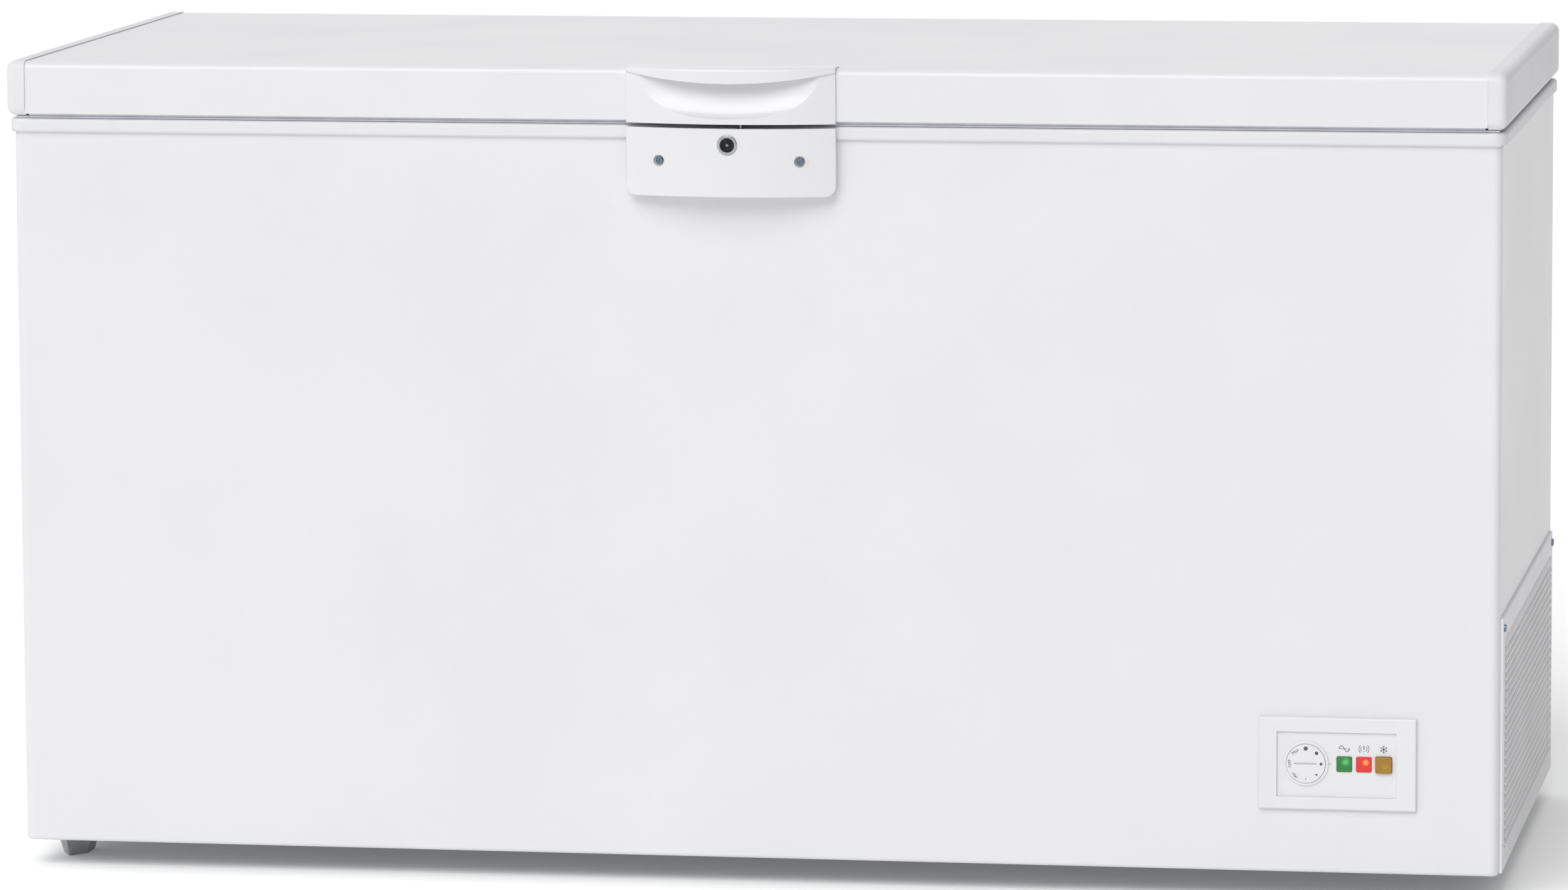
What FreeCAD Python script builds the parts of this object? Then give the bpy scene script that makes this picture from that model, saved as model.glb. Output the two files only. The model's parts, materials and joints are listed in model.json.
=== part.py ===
"""Chest freezer, written as one STEP file for each separate piece.

Frame: millimetres, +Z up, +X to the right and -Y to the front as seen by a person standing before it.
The origin is on the floor, under the middle of the whole object.
"""

import FreeCAD
import Part
import math
import os

Vec = FreeCAD.Vector

# ---------------------------------------------------------------- driving dimensions
TOTAL_WIDTH = 1555.0
TOTAL_DEPTH = 725.0
TOTAL_HEIGHT = 848.0
FLOOR_GAP = 28.0            # cabinet underside above the floor
SHEET = 1.0                 # painted steel sheet
HANDLE_PROUD = 1.5          # handle above the lid's top

# lid
LID_FRONT = -337.5
LID_REAR = 351.5
LID_TOP = TOTAL_HEIGHT - HANDLE_PROUD
LID_BOTTOM = 792.5
LID_EDGE_RADIUS = 8.0
CAP_WIDTH = 20.0
CAP_PROUD = 1.0
CAP_DROP = 2.0
CAP_RADIUS = 9.0
CAP_WALL = 3.0
LID_LINER_TOP = 796.9
LID_LINER_BOTTOM = 793.6
GASKET_BOTTOM = 787.8
GASKET_STEP = 792.4         # its outer lobe stays under the lid sheet's folded edge

# collar round the top of the cabinet
COLLAR_TOP = 787.5
COLLAR_BOTTOM = 773.0
COLLAR_PLATE = 4.0
COLLAR_OVERHANG = 4.5
LEDGE_TOP = 778.0
LEDGE_THICKNESS = 3.0
LEDGE_REACH = 14.0          # ledge past the liner's face, for the basket hooks
COLLAR_LIP = 3.0
SIDE_LEDGE = 4.0            # narrow ledge at the two ends

# cabinet
BODY_HALF = 772.0
BODY_FRONT = -329.0
BODY_REAR = 344.0
CORNER_RADIUS = 9.0
HEM_RADIUS = 4.0
HEM_WIDTH = 14.0
WALL = 65.0                 # foam between outer sheet and liner
SIDE_WALL = 72.0
LINER = 1.0
LINER_RADIUS = 30.0
CAVITY_HALF = BODY_HALF - SIDE_WALL
CAVITY_FRONT = BODY_FRONT + WALL
CAVITY_REAR = BODY_REAR - WALL
CAVITY_FLOOR = FLOOR_GAP + WALL
BODY_TOP = COLLAR_TOP - COLLAR_PLATE

# compressor compartment at the right end
BAY_LEFT = 490.0
BAY_TOP = 292.0
BAY_WALL = 60.0
STEP_LEFT = BAY_LEFT - BAY_WALL
STEP_TOP = BAY_TOP + BAY_WALL

# side grille over the compartment
GRILLE_FRONT = -318.0
GRILLE_REAR = 336.0
GRILLE_BOTTOM = 30.0
GRILLE_THICKNESS = 3.0
GRILLE_BORDER = 23.0
LOUVRES = 24
LOUVRE_REACH = 4.6
LOUVRE_THICKNESS = 1.7
LOUVRE_DROP = 0.4           # slats' upper edges under the window's edge

# handle and lock panel share one bowed plan outline
HANDLE_X = -14.5
BOW_HALF = 108.5
BOW_END = -340.0
BOW_MIDDLE = -358.5
LIP_MIDDLE = -362.5
LIP_END = -341.3
HANDLE_BOTTOM = 790.3
HANDLE_BACK_ON_TOP = -316.0
LIP_LOW_MIDDLE = 832.0
LIP_LOW_END = 842.8
SCOOP_HALF = (155.0, 18.3, 60.0)
SCOOP_HEIGHT = 856.0
MOULDING = 3.0

# lock panel
PANEL_TOP = 786.0
PANEL_BOTTOM = 716.0
PANEL_CORNER = 10.5
LOCK_X = -15.0
LOCK_Z = 769.4
LOCK_RING_RADIUS = 10.2
BARREL_RADIUS = 7.4
RUNNING_GAP = 0.08
PANEL_SCREWS_X = (-87.3, 58.7)
PANEL_SCREWS_Z = 752.3
CLAW_RADII = (22.0, 27.0)   # the lock's claw is an arc about the barrel
CLAW_ANGLES = (-176.0, -75.0)
CLAW_ARM_ANGLE = -170.0
TONGUE_X = (-3.4, -1.4)
TONGUE_Y = (-350.0, -338.5)

# control panel
BEZEL_X = (527.5, 688.5)
BEZEL_Z = (94.0, 189.0)
BEZEL_PROUD = 5.0
PLATE_X = (546.0, 668.5)
PLATE_Z = (107.0, 174.0)
PLATE_PROUD = 2.8
DIAL_X = 575.8
DIAL_Z = 141.3
DIAL_RADIUS = 20.0
DIAL_RING_RADIUS = 23.3
PART_GAP = 0.3
LAMP_SIDE = 16.0
LAMP_Z = 141.3
LAMPS_X = (615.0, 635.0, 655.2)

# hinges
HINGE_X = (-520.0, 520.0)
PIVOT_Y = 357.2
PIVOT_Z = 790.0
KNUCKLE_RADIUS = 5.0
PIN_RADIUS = 2.5

# feet: centre of each, front left first
FEET = ((-741.0, -238.0), (-741.0, 285.0), (700.0, -20.0), (700.0, 285.0))

# baskets
BASKET_WIDTH = 240.0
BASKET_HEIGHT = 215.0
BASKET_WALL = 3.0
BASKET_SIDE_GAP = 9.0

# drain
DRAIN_X = -600.0
DRAIN_Y = -150.0


# ---------------------------------------------------------------- small helpers
def box(x, y, z):
    """Box from three (low, high) pairs."""
    return Part.makeBox(x[1] - x[0], y[1] - y[0], z[1] - z[0], Vec(x[0], y[0], z[0]))


def runs_along(edge, axis):
    """Whether a straight edge is parallel to one of the axes 0, 1, 2."""
    if len(edge.Vertexes) != 2:
        return False
    step = edge.Vertexes[1].Point.sub(edge.Vertexes[0].Point)
    others = [abs(step[i]) for i in range(3) if i != axis]
    return max(others) < 1e-6 and abs(step[axis]) > 1e-6


def rounded_box(x, y, z, radius, axis=2):
    """Box whose four edges along one axis are rounded."""
    solid = box(x, y, z)
    return solid.makeFillet(radius, [e for e in solid.Edges if runs_along(e, axis)])


def rod(start, direction, radius, length):
    """Cylinder from a start point along a direction."""
    return Part.makeCylinder(radius, length, Vec(*start), Vec(*direction))


def prism(points, vector):
    """Straight-sided prism on a closed outline of points."""
    outline = Part.makePolygon([Vec(*p) for p in points] + [Vec(*points[0])])
    return Part.Face(outline).extrude(Vec(*vector))


def join(solids):
    """One solid out of several that overlap."""
    return solids[0].multiFuse(solids[1:]).removeSplitter()


def bent_path(points, bend):
    """Wire of straight runs with an arc of one radius at each corner."""
    points = [Vec(*p) for p in points]
    edges = []
    last = points[0]
    for before, corner, after in zip(points, points[1:], points[2:]):
        inward = before.sub(corner).normalize()
        outward = after.sub(corner).normalize()
        half = inward.getAngle(outward) / 2.0
        cut = bend / math.tan(half)
        start = corner.add(Vec(inward).multiply(cut))
        end = corner.add(Vec(outward).multiply(cut))
        middle_way = inward.add(outward).normalize()
        centre = corner.add(Vec(middle_way).multiply(bend / math.sin(half)))
        middle = centre.sub(Vec(middle_way).multiply(bend))
        if last.distanceToPoint(start) > 1e-6:
            edges.append(Part.LineSegment(last, start).toShape())
        edges.append(Part.Arc(start, middle, end).toShape())
        last = end
    edges.append(Part.LineSegment(last, points[-1]).toShape())
    return Part.Wire(edges)


def tube(points, radius, bend):
    """Round rod along a bent path."""
    path = bent_path(points, bend)
    direction = Vec(*points[1]).sub(Vec(*points[0]))
    section = Part.Wire(Part.makeCircle(radius, Vec(*points[0]), direction))
    return path.makePipeShell([section], True, False)


def coil(centre, axis, mean_radius, wire_radius, pitch, turns):
    """Helical spring starting at a centre point and winding along +Z, turned onto the axis."""
    helix = Part.makeHelix(pitch, pitch * turns, mean_radius)
    section = Part.Wire(Part.makeCircle(wire_radius, Vec(mean_radius, 0, 0), Vec(0, 1, 0)))
    spring = Part.Wire(helix).makePipeShell([section], True, True)
    turn = FreeCAD.Rotation(Vec(0, 0, 1), Vec(*axis))
    spring.Placement = FreeCAD.Placement(Vec(*centre), turn)
    return spring


def cross_head_screw(point, direction, head_radius, head_height, shank_radius, shank_length):
    """Screw with a domed cross-slot head; the point is under the head, the direction leaves the head."""
    out = Vec(*direction)
    place = Vec(*point)
    head = Part.makeCylinder(head_radius, head_height, place, out)
    rim = [e for e in head.Edges if e.Length > 1 and len(e.Vertexes) == 1
           and abs(e.Vertexes[0].Point.sub(place).dot(out) - head_height) < 1e-6]
    head = head.makeFillet(head_height * 0.45, rim)
    shank = Part.makeCylinder(shank_radius, shank_length, place, Vec(out).negative())
    screw = head.fuse(shank).removeSplitter()
    across = FreeCAD.Rotation(Vec(0, 0, 1), out)
    for turn in (0.0, 90.0):
        slot = Part.makeBox(head_radius * 1.1, head_radius * 0.22, head_height,
                            Vec(-head_radius * 0.55, -head_radius * 0.11, head_height * 0.45))
        slot.rotate(Vec(0, 0, 0), Vec(0, 0, 1), turn)
        slot.Placement = FreeCAD.Placement(place, across).multiply(slot.Placement)
        screw = screw.cut(slot)
    return screw


def bow_y(x, end=BOW_END, middle=BOW_MIDDLE):
    """Front of the bowed outline at one place across it."""
    rise = end - middle
    radius = (BOW_HALF ** 2 + rise ** 2) / (2.0 * rise)
    return middle + radius - math.sqrt(radius ** 2 - (x - HANDLE_X) ** 2)


def bow_block(inset, back, z, middle=BOW_MIDDLE, end=BOW_END):
    """Block with the bowed front; the inset shrinks its front and its two ends."""
    half = BOW_HALF - inset
    ends = end + inset
    front = middle + inset
    left = Vec(HANDLE_X - half, ends, z[0])
    right = Vec(HANDLE_X + half, ends, z[0])
    back_right = Vec(HANDLE_X + half, back, z[0])
    back_left = Vec(HANDLE_X - half, back, z[0])
    edges = [
        Part.Arc(left, Vec(HANDLE_X, front, z[0]), right).toShape(),
        Part.LineSegment(right, back_right).toShape(),
        Part.LineSegment(back_right, back_left).toShape(),
        Part.LineSegment(back_left, left).toShape(),
    ]
    return Part.Face(Part.Wire(edges)).extrude(Vec(0, 0, z[1] - z[0]))


PARTS = {}


def piece(name, shape):
    """Keep a finished piece under its name."""
    PARTS[name] = shape


# ---------------------------------------------------------------- cabinet
def body_block(inset):
    """The cabinet's outer volume, shrunk by an inset, with its rounded front corners and lower hem."""
    solid = box((-BODY_HALF + inset, BODY_HALF - inset), (BODY_FRONT + inset, BODY_REAR + 20.0),
                (FLOOR_GAP + inset, BODY_TOP + 20.0))
    upright = [e for e in solid.Edges if runs_along(e, 2) and e.Vertexes[0].Point.y < BODY_FRONT + 20]
    solid = solid.makeFillet(CORNER_RADIUS - inset, upright)
    low = [e for e in solid.Edges if e.BoundBox.ZMax < FLOOR_GAP + inset + 0.01
           and e.BoundBox.YMin < BODY_REAR]
    solid = solid.makeFillet(HEM_RADIUS - inset, low)
    return solid.common(box((-BODY_HALF, BODY_HALF), (BODY_FRONT, BODY_REAR), (FLOOR_GAP, BODY_TOP)))


def outer_wrapper():
    """Front and both sides in one folded sheet with an inward hem below."""
    shell = body_block(0.0).cut(body_block(SHEET))
    window = box((-BODY_HALF + HEM_WIDTH, BODY_HALF - HEM_WIDTH),
                 (BODY_FRONT + HEM_WIDTH, BODY_REAR + 5), (FLOOR_GAP - 5, FLOOR_GAP + 5))
    rear = box((-BODY_HALF, BODY_HALF), (BODY_REAR - SHEET, BODY_REAR + 5), (0, TOTAL_HEIGHT))
    shell = shell.cut(window).cut(rear)
    control = box((548.0, 671.0), (BODY_FRONT - 5, BODY_FRONT + 5), (110.0, 172.0))
    bay = rounded_box((BODY_HALF - 5, BODY_HALF + 5), (GRILLE_FRONT + 20, GRILLE_REAR - 22),
                      (GRILLE_BOTTOM + 20, BAY_TOP - 18), 6.0, axis=0)
    piece("outer_wrapper", shell.cut(control).cut(bay))


def rear_panel():
    """Flat rear sheet with three rows of vents into the compressor compartment."""
    panel = box((-BODY_HALF, BODY_HALF), (BODY_REAR - SHEET, BODY_REAR), (FLOOR_GAP, BODY_TOP))
    slots = []
    for row in range(6):
        for column in range(4):
            x = 540.0 + column * 52.0
            z = 110.0 + row * 22.0
            slots.append(rounded_box((x, x + 40.0), (BODY_REAR - 5, BODY_REAR + 5), (z, z + 6.0), 2.9, 1))
    piece("rear_panel", panel.cut(Part.makeCompound(slots)))


def base():
    """Base pan under the foam, and the tray that carries the compressor."""
    pan = box((-BODY_HALF + HEM_WIDTH + 0.5, BAY_LEFT - 1), (BODY_FRONT + HEM_WIDTH + 0.5, BODY_REAR - SHEET),
              (FLOOR_GAP, FLOOR_GAP + SHEET))
    piece("base_pan", pan.cut(rod((DRAIN_X, DRAIN_Y, FLOOR_GAP - 5), (0, 0, 1), 12.0, 20)))
    tray = box((BAY_LEFT, BODY_HALF - HEM_WIDTH - 0.5), (BODY_FRONT + HEM_WIDTH + 0.5, BODY_REAR - SHEET),
               (FLOOR_GAP, FLOOR_GAP + 2.0))
    ribs = [box((BAY_LEFT + 8, BODY_HALF - HEM_WIDTH - 8), (y, y + 12.0), (FLOOR_GAP + 1, FLOOR_GAP + 12.0))
            for y in (-290.0, -60.0)]
    piece("compressor_tray", join([tray] + ribs))


def cavity(grow):
    """The storage space with its step, grown by the liner's thickness where asked."""
    top = BODY_TOP
    deep = rounded_box((-CAVITY_HALF - grow, STEP_LEFT + grow), (CAVITY_FRONT - grow, CAVITY_REAR + grow),
                       (CAVITY_FLOOR - grow, top), LINER_RADIUS + grow)
    high = rounded_box((-CAVITY_HALF - grow, CAVITY_HALF + grow), (CAVITY_FRONT - grow, CAVITY_REAR + grow),
                       (STEP_TOP - grow, top), LINER_RADIUS + grow)
    return deep.fuse(high).removeSplitter()


def drain_bore(radius):
    """Upright bore through floor, foam and base."""
    return rod((DRAIN_X, DRAIN_Y, FLOOR_GAP - 10), (0, 0, 1), radius, WALL + 30)


def insulation():
    """Foam between sheet and liner, hollow where the compressor sits."""
    block = body_block(SHEET).cut(box((-BODY_HALF, BODY_HALF), (BODY_REAR - SHEET, BODY_REAR + 5),
                                      (0, TOTAL_HEIGHT)))
    block = block.cut(box((-BODY_HALF, BODY_HALF), (BODY_FRONT, BODY_REAR), (0, FLOOR_GAP + 2 * SHEET)))
    bay = box((BAY_LEFT, BODY_HALF), (BODY_FRONT - 5, BODY_REAR + 5), (0, BAY_TOP))
    piece("insulation", block.cut(cavity(LINER)).cut(bay).cut(drain_bore(11.0)))


def inner_liner():
    """Thin tub with the step over the compressor."""
    piece("inner_liner", cavity(LINER).cut(cavity(0.0)).cut(drain_bore(9.0)))


def serpentine(y, radius, x, heights, bend):
    """Flat tube of level runs joined by half-round bends."""
    points = []
    for row, z in enumerate(heights):
        ends = x if row % 2 == 0 else (x[1], x[0])
        points.append((ends[0], y, z))
        points.append((ends[1], y, z))
    return tube(points, radius, bend)


def coils():
    """Condenser against the outer sheet and evaporator against the liner, both in the foam."""
    rows = [BAY_TOP + 60 + 70 * i for i in range(6)]
    front = serpentine(BODY_FRONT + SHEET + 3.0, 2.5, (-700.0, 700.0), rows, 34.9)
    rear = serpentine(BODY_REAR - SHEET - 3.0, 2.5, (-700.0, 700.0), rows, 34.9)
    piece("condenser_coil", Part.makeCompound([front, rear]))
    rows = [CAVITY_FLOOR + 300 + 60 * i for i in range(6)]
    front = serpentine(CAVITY_FRONT - LINER - 4.2, 4.0, (-650.0, 640.0), rows, 29.9)
    rear = serpentine(CAVITY_REAR + LINER + 4.2, 4.0, (-650.0, 640.0), rows, 29.9)
    piece("evaporator_coil", Part.makeCompound([front, rear]))


def collar_frame():
    """Plastic frame round the cabinet's top with a stepped-down ledge for the baskets."""
    half = BODY_HALF + COLLAR_OVERHANG
    front = BODY_FRONT - COLLAR_OVERHANG
    rear = BODY_REAR + COLLAR_OVERHANG - 0.5
    outside = rounded_box((-half, half), (front, rear), (COLLAR_BOTTOM, COLLAR_TOP), 15.0)
    rims = [e for e in outside.Edges if e.BoundBox.ZLength < 1e-6]
    outside = outside.makeFillet(3.2, rims)
    under = box((-BODY_HALF, BODY_HALF), (BODY_FRONT, BODY_REAR), (COLLAR_BOTTOM - 5, BODY_TOP))
    lip_half = CAVITY_HALF
    lip = rounded_box((-lip_half, lip_half), (CAVITY_FRONT, CAVITY_REAR),
                      (LEDGE_TOP - LEDGE_THICKNESS, BODY_TOP), LINER_RADIUS)
    frame = outside.cut(under).fuse(lip)
    well = rounded_box((-lip_half + COLLAR_LIP, lip_half - COLLAR_LIP),
                       (CAVITY_FRONT + COLLAR_LIP, CAVITY_REAR - COLLAR_LIP),
                       (LEDGE_TOP, COLLAR_TOP + 5), LINER_RADIUS - COLLAR_LIP)
    mouth_half = lip_half - COLLAR_LIP - SIDE_LEDGE
    mouth = rounded_box((-mouth_half, mouth_half),
                        (CAVITY_FRONT + LEDGE_REACH, CAVITY_REAR - LEDGE_REACH),
                        (LEDGE_TOP - 20, COLLAR_TOP + 5), LINER_RADIUS - LEDGE_REACH)
    piece("collar_frame", frame.cut(well).cut(mouth).removeSplitter())


# ---------------------------------------------------------------- lock
def lock_panel():
    """Bowed moulding over the collar, hollow behind, with bosses for two screws and the lock."""
    outside = bow_block(0.0, BODY_FRONT, (PANEL_BOTTOM, PANEL_TOP))
    corners = [e for e in outside.Edges if runs_along(e, 1) and e.BoundBox.ZMax < PANEL_BOTTOM + 1]
    outside = outside.makeFillet(PANEL_CORNER, corners)
    hollow = bow_block(MOULDING, BODY_FRONT + 5, (PANEL_BOTTOM + MOULDING, PANEL_TOP - MOULDING))
    bosses = []
    holes = []
    for x in PANEL_SCREWS_X:
        bosses.append(rod((x, bow_y(x) + 1.5, PANEL_SCREWS_Z), (0, 1, 0), 8.0, BODY_FRONT - bow_y(x) - 1.5))
        holes.append(rod((x, bow_y(x) - 5.0, PANEL_SCREWS_Z), (0, 1, 0), 5.8, 9.5))
        holes.append(rod((x, bow_y(x) - 5.0, PANEL_SCREWS_Z), (0, 1, 0), 2.7, 60.0))
    bosses.append(rod((LOCK_X, BOW_MIDDLE + 1.5, LOCK_Z), (0, 1, 0), 11.0, 9.0))
    holes.append(rod((LOCK_X, BOW_MIDDLE - 5.0, LOCK_Z), (0, 1, 0), BARREL_RADIUS + RUNNING_GAP, 40.0))
    holes.append(rod((LOCK_X, BOW_MIDDLE - 5.0, LOCK_Z), (0, 1, 0), LOCK_RING_RADIUS, 6.2))
    tongue_slot = box((TONGUE_X[0] - 3.5, TONGUE_X[1] + 3.5), (TONGUE_Y[0] - 3.5, -330.0), (PANEL_TOP - 8, PANEL_TOP + 5))
    collar = box((HANDLE_X - 130, HANDLE_X + 130), (BODY_FRONT - COLLAR_OVERHANG, BODY_FRONT + 5),
                 (COLLAR_BOTTOM, COLLAR_TOP + 5))
    panel = outside.cut(hollow).multiFuse(bosses)
    for hole in holes:
        panel = panel.cut(hole)
    piece("lock_panel", panel.cut(tongue_slot).cut(collar).removeSplitter())


def lock_parts():
    """Escutcheon ring, turning barrel with its key slot, and the claw-shaped cam on the barrel's tail."""
    front = BOW_MIDDLE - 1.2
    ring = rod((LOCK_X, front, LOCK_Z), (0, 1, 0), LOCK_RING_RADIUS, 2.4)
    rim = [e for e in ring.Edges if e.BoundBox.YMax < front + 0.01 and e.Length > 30]
    ring = ring.makeFillet(0.8, rim)
    ring = ring.cut(rod((LOCK_X, front - 1, LOCK_Z), (0, 1, 0), BARREL_RADIUS + RUNNING_GAP, 10.0))
    notch = box((LOCK_X + 8.2, LOCK_X + 12.0), (front - 1, front + 1.0), (LOCK_Z - 1.0, LOCK_Z + 1.0))
    piece("lock_escutcheon", ring.cut(notch))
    barrel = rod((LOCK_X, front + 0.4, LOCK_Z), (0, 1, 0), BARREL_RADIUS, 13.0)
    cup = rod((LOCK_X, front - 1, LOCK_Z), (0, 1, 0), 5.4, 2.6)
    stem = rod((LOCK_X, front + 0.9, LOCK_Z), (0, 1, 0), 2.0, 3.0)
    tail = rod((LOCK_X, front + 13.0, LOCK_Z), (0, 1, 0), 3.2, 4.5)
    slot = box((LOCK_X - 0.4, LOCK_X + 0.4), (front - 1, front + 6.0), (LOCK_Z - 3.2, LOCK_Z + 3.2))
    piece("lock_barrel", barrel.cut(cup).multiFuse([stem, tail]).cut(slot).removeSplitter())
    cam_y = front + 13.6
    centre = (LOCK_X, cam_y, LOCK_Z)
    inner, outer = CLAW_RADII
    wedge = [(LOCK_X, cam_y - 1, LOCK_Z)]
    for step in range(5):
        angle = math.radians(CLAW_ANGLES[0] + (CLAW_ANGLES[1] - CLAW_ANGLES[0]) * step / 4)
        wedge.append((LOCK_X + 2 * outer * math.cos(angle), cam_y - 1, LOCK_Z + 2 * outer * math.sin(angle)))
    claw = rod(centre, (0, 1, 0), outer, 2.0).cut(rod((LOCK_X, cam_y - 1, LOCK_Z), (0, 1, 0), inner, 4.0))
    claw = claw.common(prism(wedge, (0, 4.0, 0)))
    arm = box((LOCK_X, LOCK_X + inner + 2.5), (cam_y, cam_y + 2.0), (LOCK_Z - 3.5, LOCK_Z + 3.5))
    arm.rotate(Vec(*centre), Vec(0, -1, 0), CLAW_ARM_ANGLE)
    hub = rod(centre, (0, 1, 0), 6.0, 2.0)
    bore = rod((LOCK_X, cam_y - 1, LOCK_Z), (0, 1, 0), 3.2, 4.0)
    piece("lock_cam", arm.multiFuse([claw, hub]).cut(bore).removeSplitter())


def lock_screws():
    """Two recessed cross-head screws of the lock panel."""
    screws = [cross_head_screw((x, bow_y(x) + 4.5, PANEL_SCREWS_Z), (0, -1, 0), 4.0, 2.4, 2.2, 34.0)
              for x in PANEL_SCREWS_X]
    piece("lock_panel_screws", Part.makeCompound(screws))


# ---------------------------------------------------------------- control panel
def control_panel():
    """Bezel, plate with dial ring and lamp windows, lamps, button, dial and the units behind them."""
    bezel_front = BODY_FRONT - BEZEL_PROUD
    bezel = box(BEZEL_X, (bezel_front, BODY_FRONT), BEZEL_Z)
    front_rim = [e for e in bezel.Edges if e.BoundBox.YMax < bezel_front + 0.01]
    bezel = bezel.makeFillet(1.8, front_rim)
    window = box(PLATE_X, (bezel_front - 5, BODY_FRONT + 5), PLATE_Z)
    piece("control_bezel", bezel.cut(window))

    plate_front = BODY_FRONT - PLATE_PROUD
    plate = box(PLATE_X, (plate_front, BODY_FRONT), PLATE_Z)
    ring = rod((DIAL_X, plate_front - 1.6, DIAL_Z), (0, 1, 0), DIAL_RING_RADIUS, 3.0)
    ring_rim = [e for e in ring.Edges if e.BoundBox.YMax < plate_front - 1.5 and e.Length > 60]
    ring = ring.makeFillet(1.2, ring_rim)
    plate = plate.fuse(ring)
    plate = plate.cut(rod((DIAL_X, plate_front - 5, DIAL_Z), (0, 1, 0), DIAL_RADIUS + PART_GAP, 6.4))
    plate = plate.cut(rod((DIAL_X, plate_front - 5, DIAL_Z), (0, 1, 0), 3.4, 20.0))
    for x, extra in zip(LAMPS_X, (0.05, 0.05, PART_GAP + 0.35)):
        half = LAMP_SIDE / 2 + extra
        plate = plate.cut(rounded_box((x - half, x + half), (plate_front - 5, BODY_FRONT + 5),
                                      (LAMP_Z - half, LAMP_Z + half), 2.0, axis=1))
    piece("control_plate", plate.removeSplitter())

    for name, x in zip(("green_lamp_lens", "red_lamp_lens"), LAMPS_X):
        half = LAMP_SIDE / 2
        lens = rounded_box((x - half, x + half), (plate_front - 1.0, BODY_FRONT + 1.0),
                           (LAMP_Z - half, LAMP_Z + half), 2.0, axis=1)
        rim = [e for e in lens.Edges if e.BoundBox.YMax < plate_front - 0.9]
        piece(name, lens.makeFillet(0.6, rim))

    half = LAMP_SIDE / 2 + 0.35
    button_x = LAMPS_X[2]
    cap = rounded_box((button_x - half, button_x + half), (plate_front - 3.6, BODY_FRONT + 6.0),
                      (LAMP_Z - half, LAMP_Z + half), 2.0, axis=1)
    rim = [e for e in cap.Edges if e.BoundBox.YMax < plate_front - 3.5]
    cap = cap.makeFillet(0.7, rim)
    stem = rod((button_x, BODY_FRONT + 5.0, LAMP_Z), (0, 1, 0), 2.2, 11.0)
    piece("fast_freeze_button", cap.fuse(stem).removeSplitter())
    piece("button_spring", coil((button_x, BODY_FRONT + 6.6, LAMP_Z), (0, 1, 0), 3.6, 0.4, 1.9, 5))

    housing = box((604.0, 668.0), (BODY_FRONT + 0.5, BODY_FRONT + 28.0), (LAMP_Z - 13, LAMP_Z + 13))
    hollow = box((606.0, 666.0), (BODY_FRONT - 1, BODY_FRONT + 17.0), (LAMP_Z - 11, LAMP_Z + 11))
    bore = rod((button_x, BODY_FRONT + 16.0, LAMP_Z), (0, 1, 0), 2.6, 10.0)
    piece("indicator_housing", housing.cut(hollow).cut(bore))


def thermostat():
    """Dial with its coin slot, its shaft in the thermostat's bore, and the sensing tube."""
    plate_front = BODY_FRONT - PLATE_PROUD
    face = plate_front - 2.6
    knob = rod((DIAL_X, face, DIAL_Z), (0, 1, 0), DIAL_RADIUS, 3.8)
    rim = [e for e in knob.Edges if e.BoundBox.YMax < face + 0.01 and e.Length > 60]
    knob = knob.makeFillet(0.5, rim)
    knob = knob.cut(rounded_box((DIAL_X - 11.3, DIAL_X + 11.3), (face - 1, face + 1.4),
                                (DIAL_Z - 0.9, DIAL_Z + 0.9), 0.85, axis=1))
    shaft = rod((DIAL_X, face + 3.0, DIAL_Z), (0, 1, 0), 3.0, 22.0)
    piece("thermostat_dial", knob.fuse(shaft).removeSplitter())
    body = rounded_box((554.0, 597.6), (BODY_FRONT + 3.0, BODY_FRONT + 30.0), (120.0, 162.6), 3.0, axis=1)
    bore = rod((DIAL_X, BODY_FRONT, DIAL_Z), (0, 1, 0), 3.0 + RUNNING_GAP, 22.0)
    piece("thermostat_body", body.cut(bore))
    start = BODY_FRONT + 29.5
    capillary = tube([(DIAL_X, start, 150.0), (DIAL_X, start + 30, 150.0), (DIAL_X, start + 30, 325.0),
                      (300.0, start + 30, 325.0)], 1.3, 14.0)
    bulb = rod((305.0, start + 30, 325.0), (-1, 0, 0), 3.6, 90.0)
    piece("sensor_tube", capillary.fuse(bulb).removeSplitter())


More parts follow.
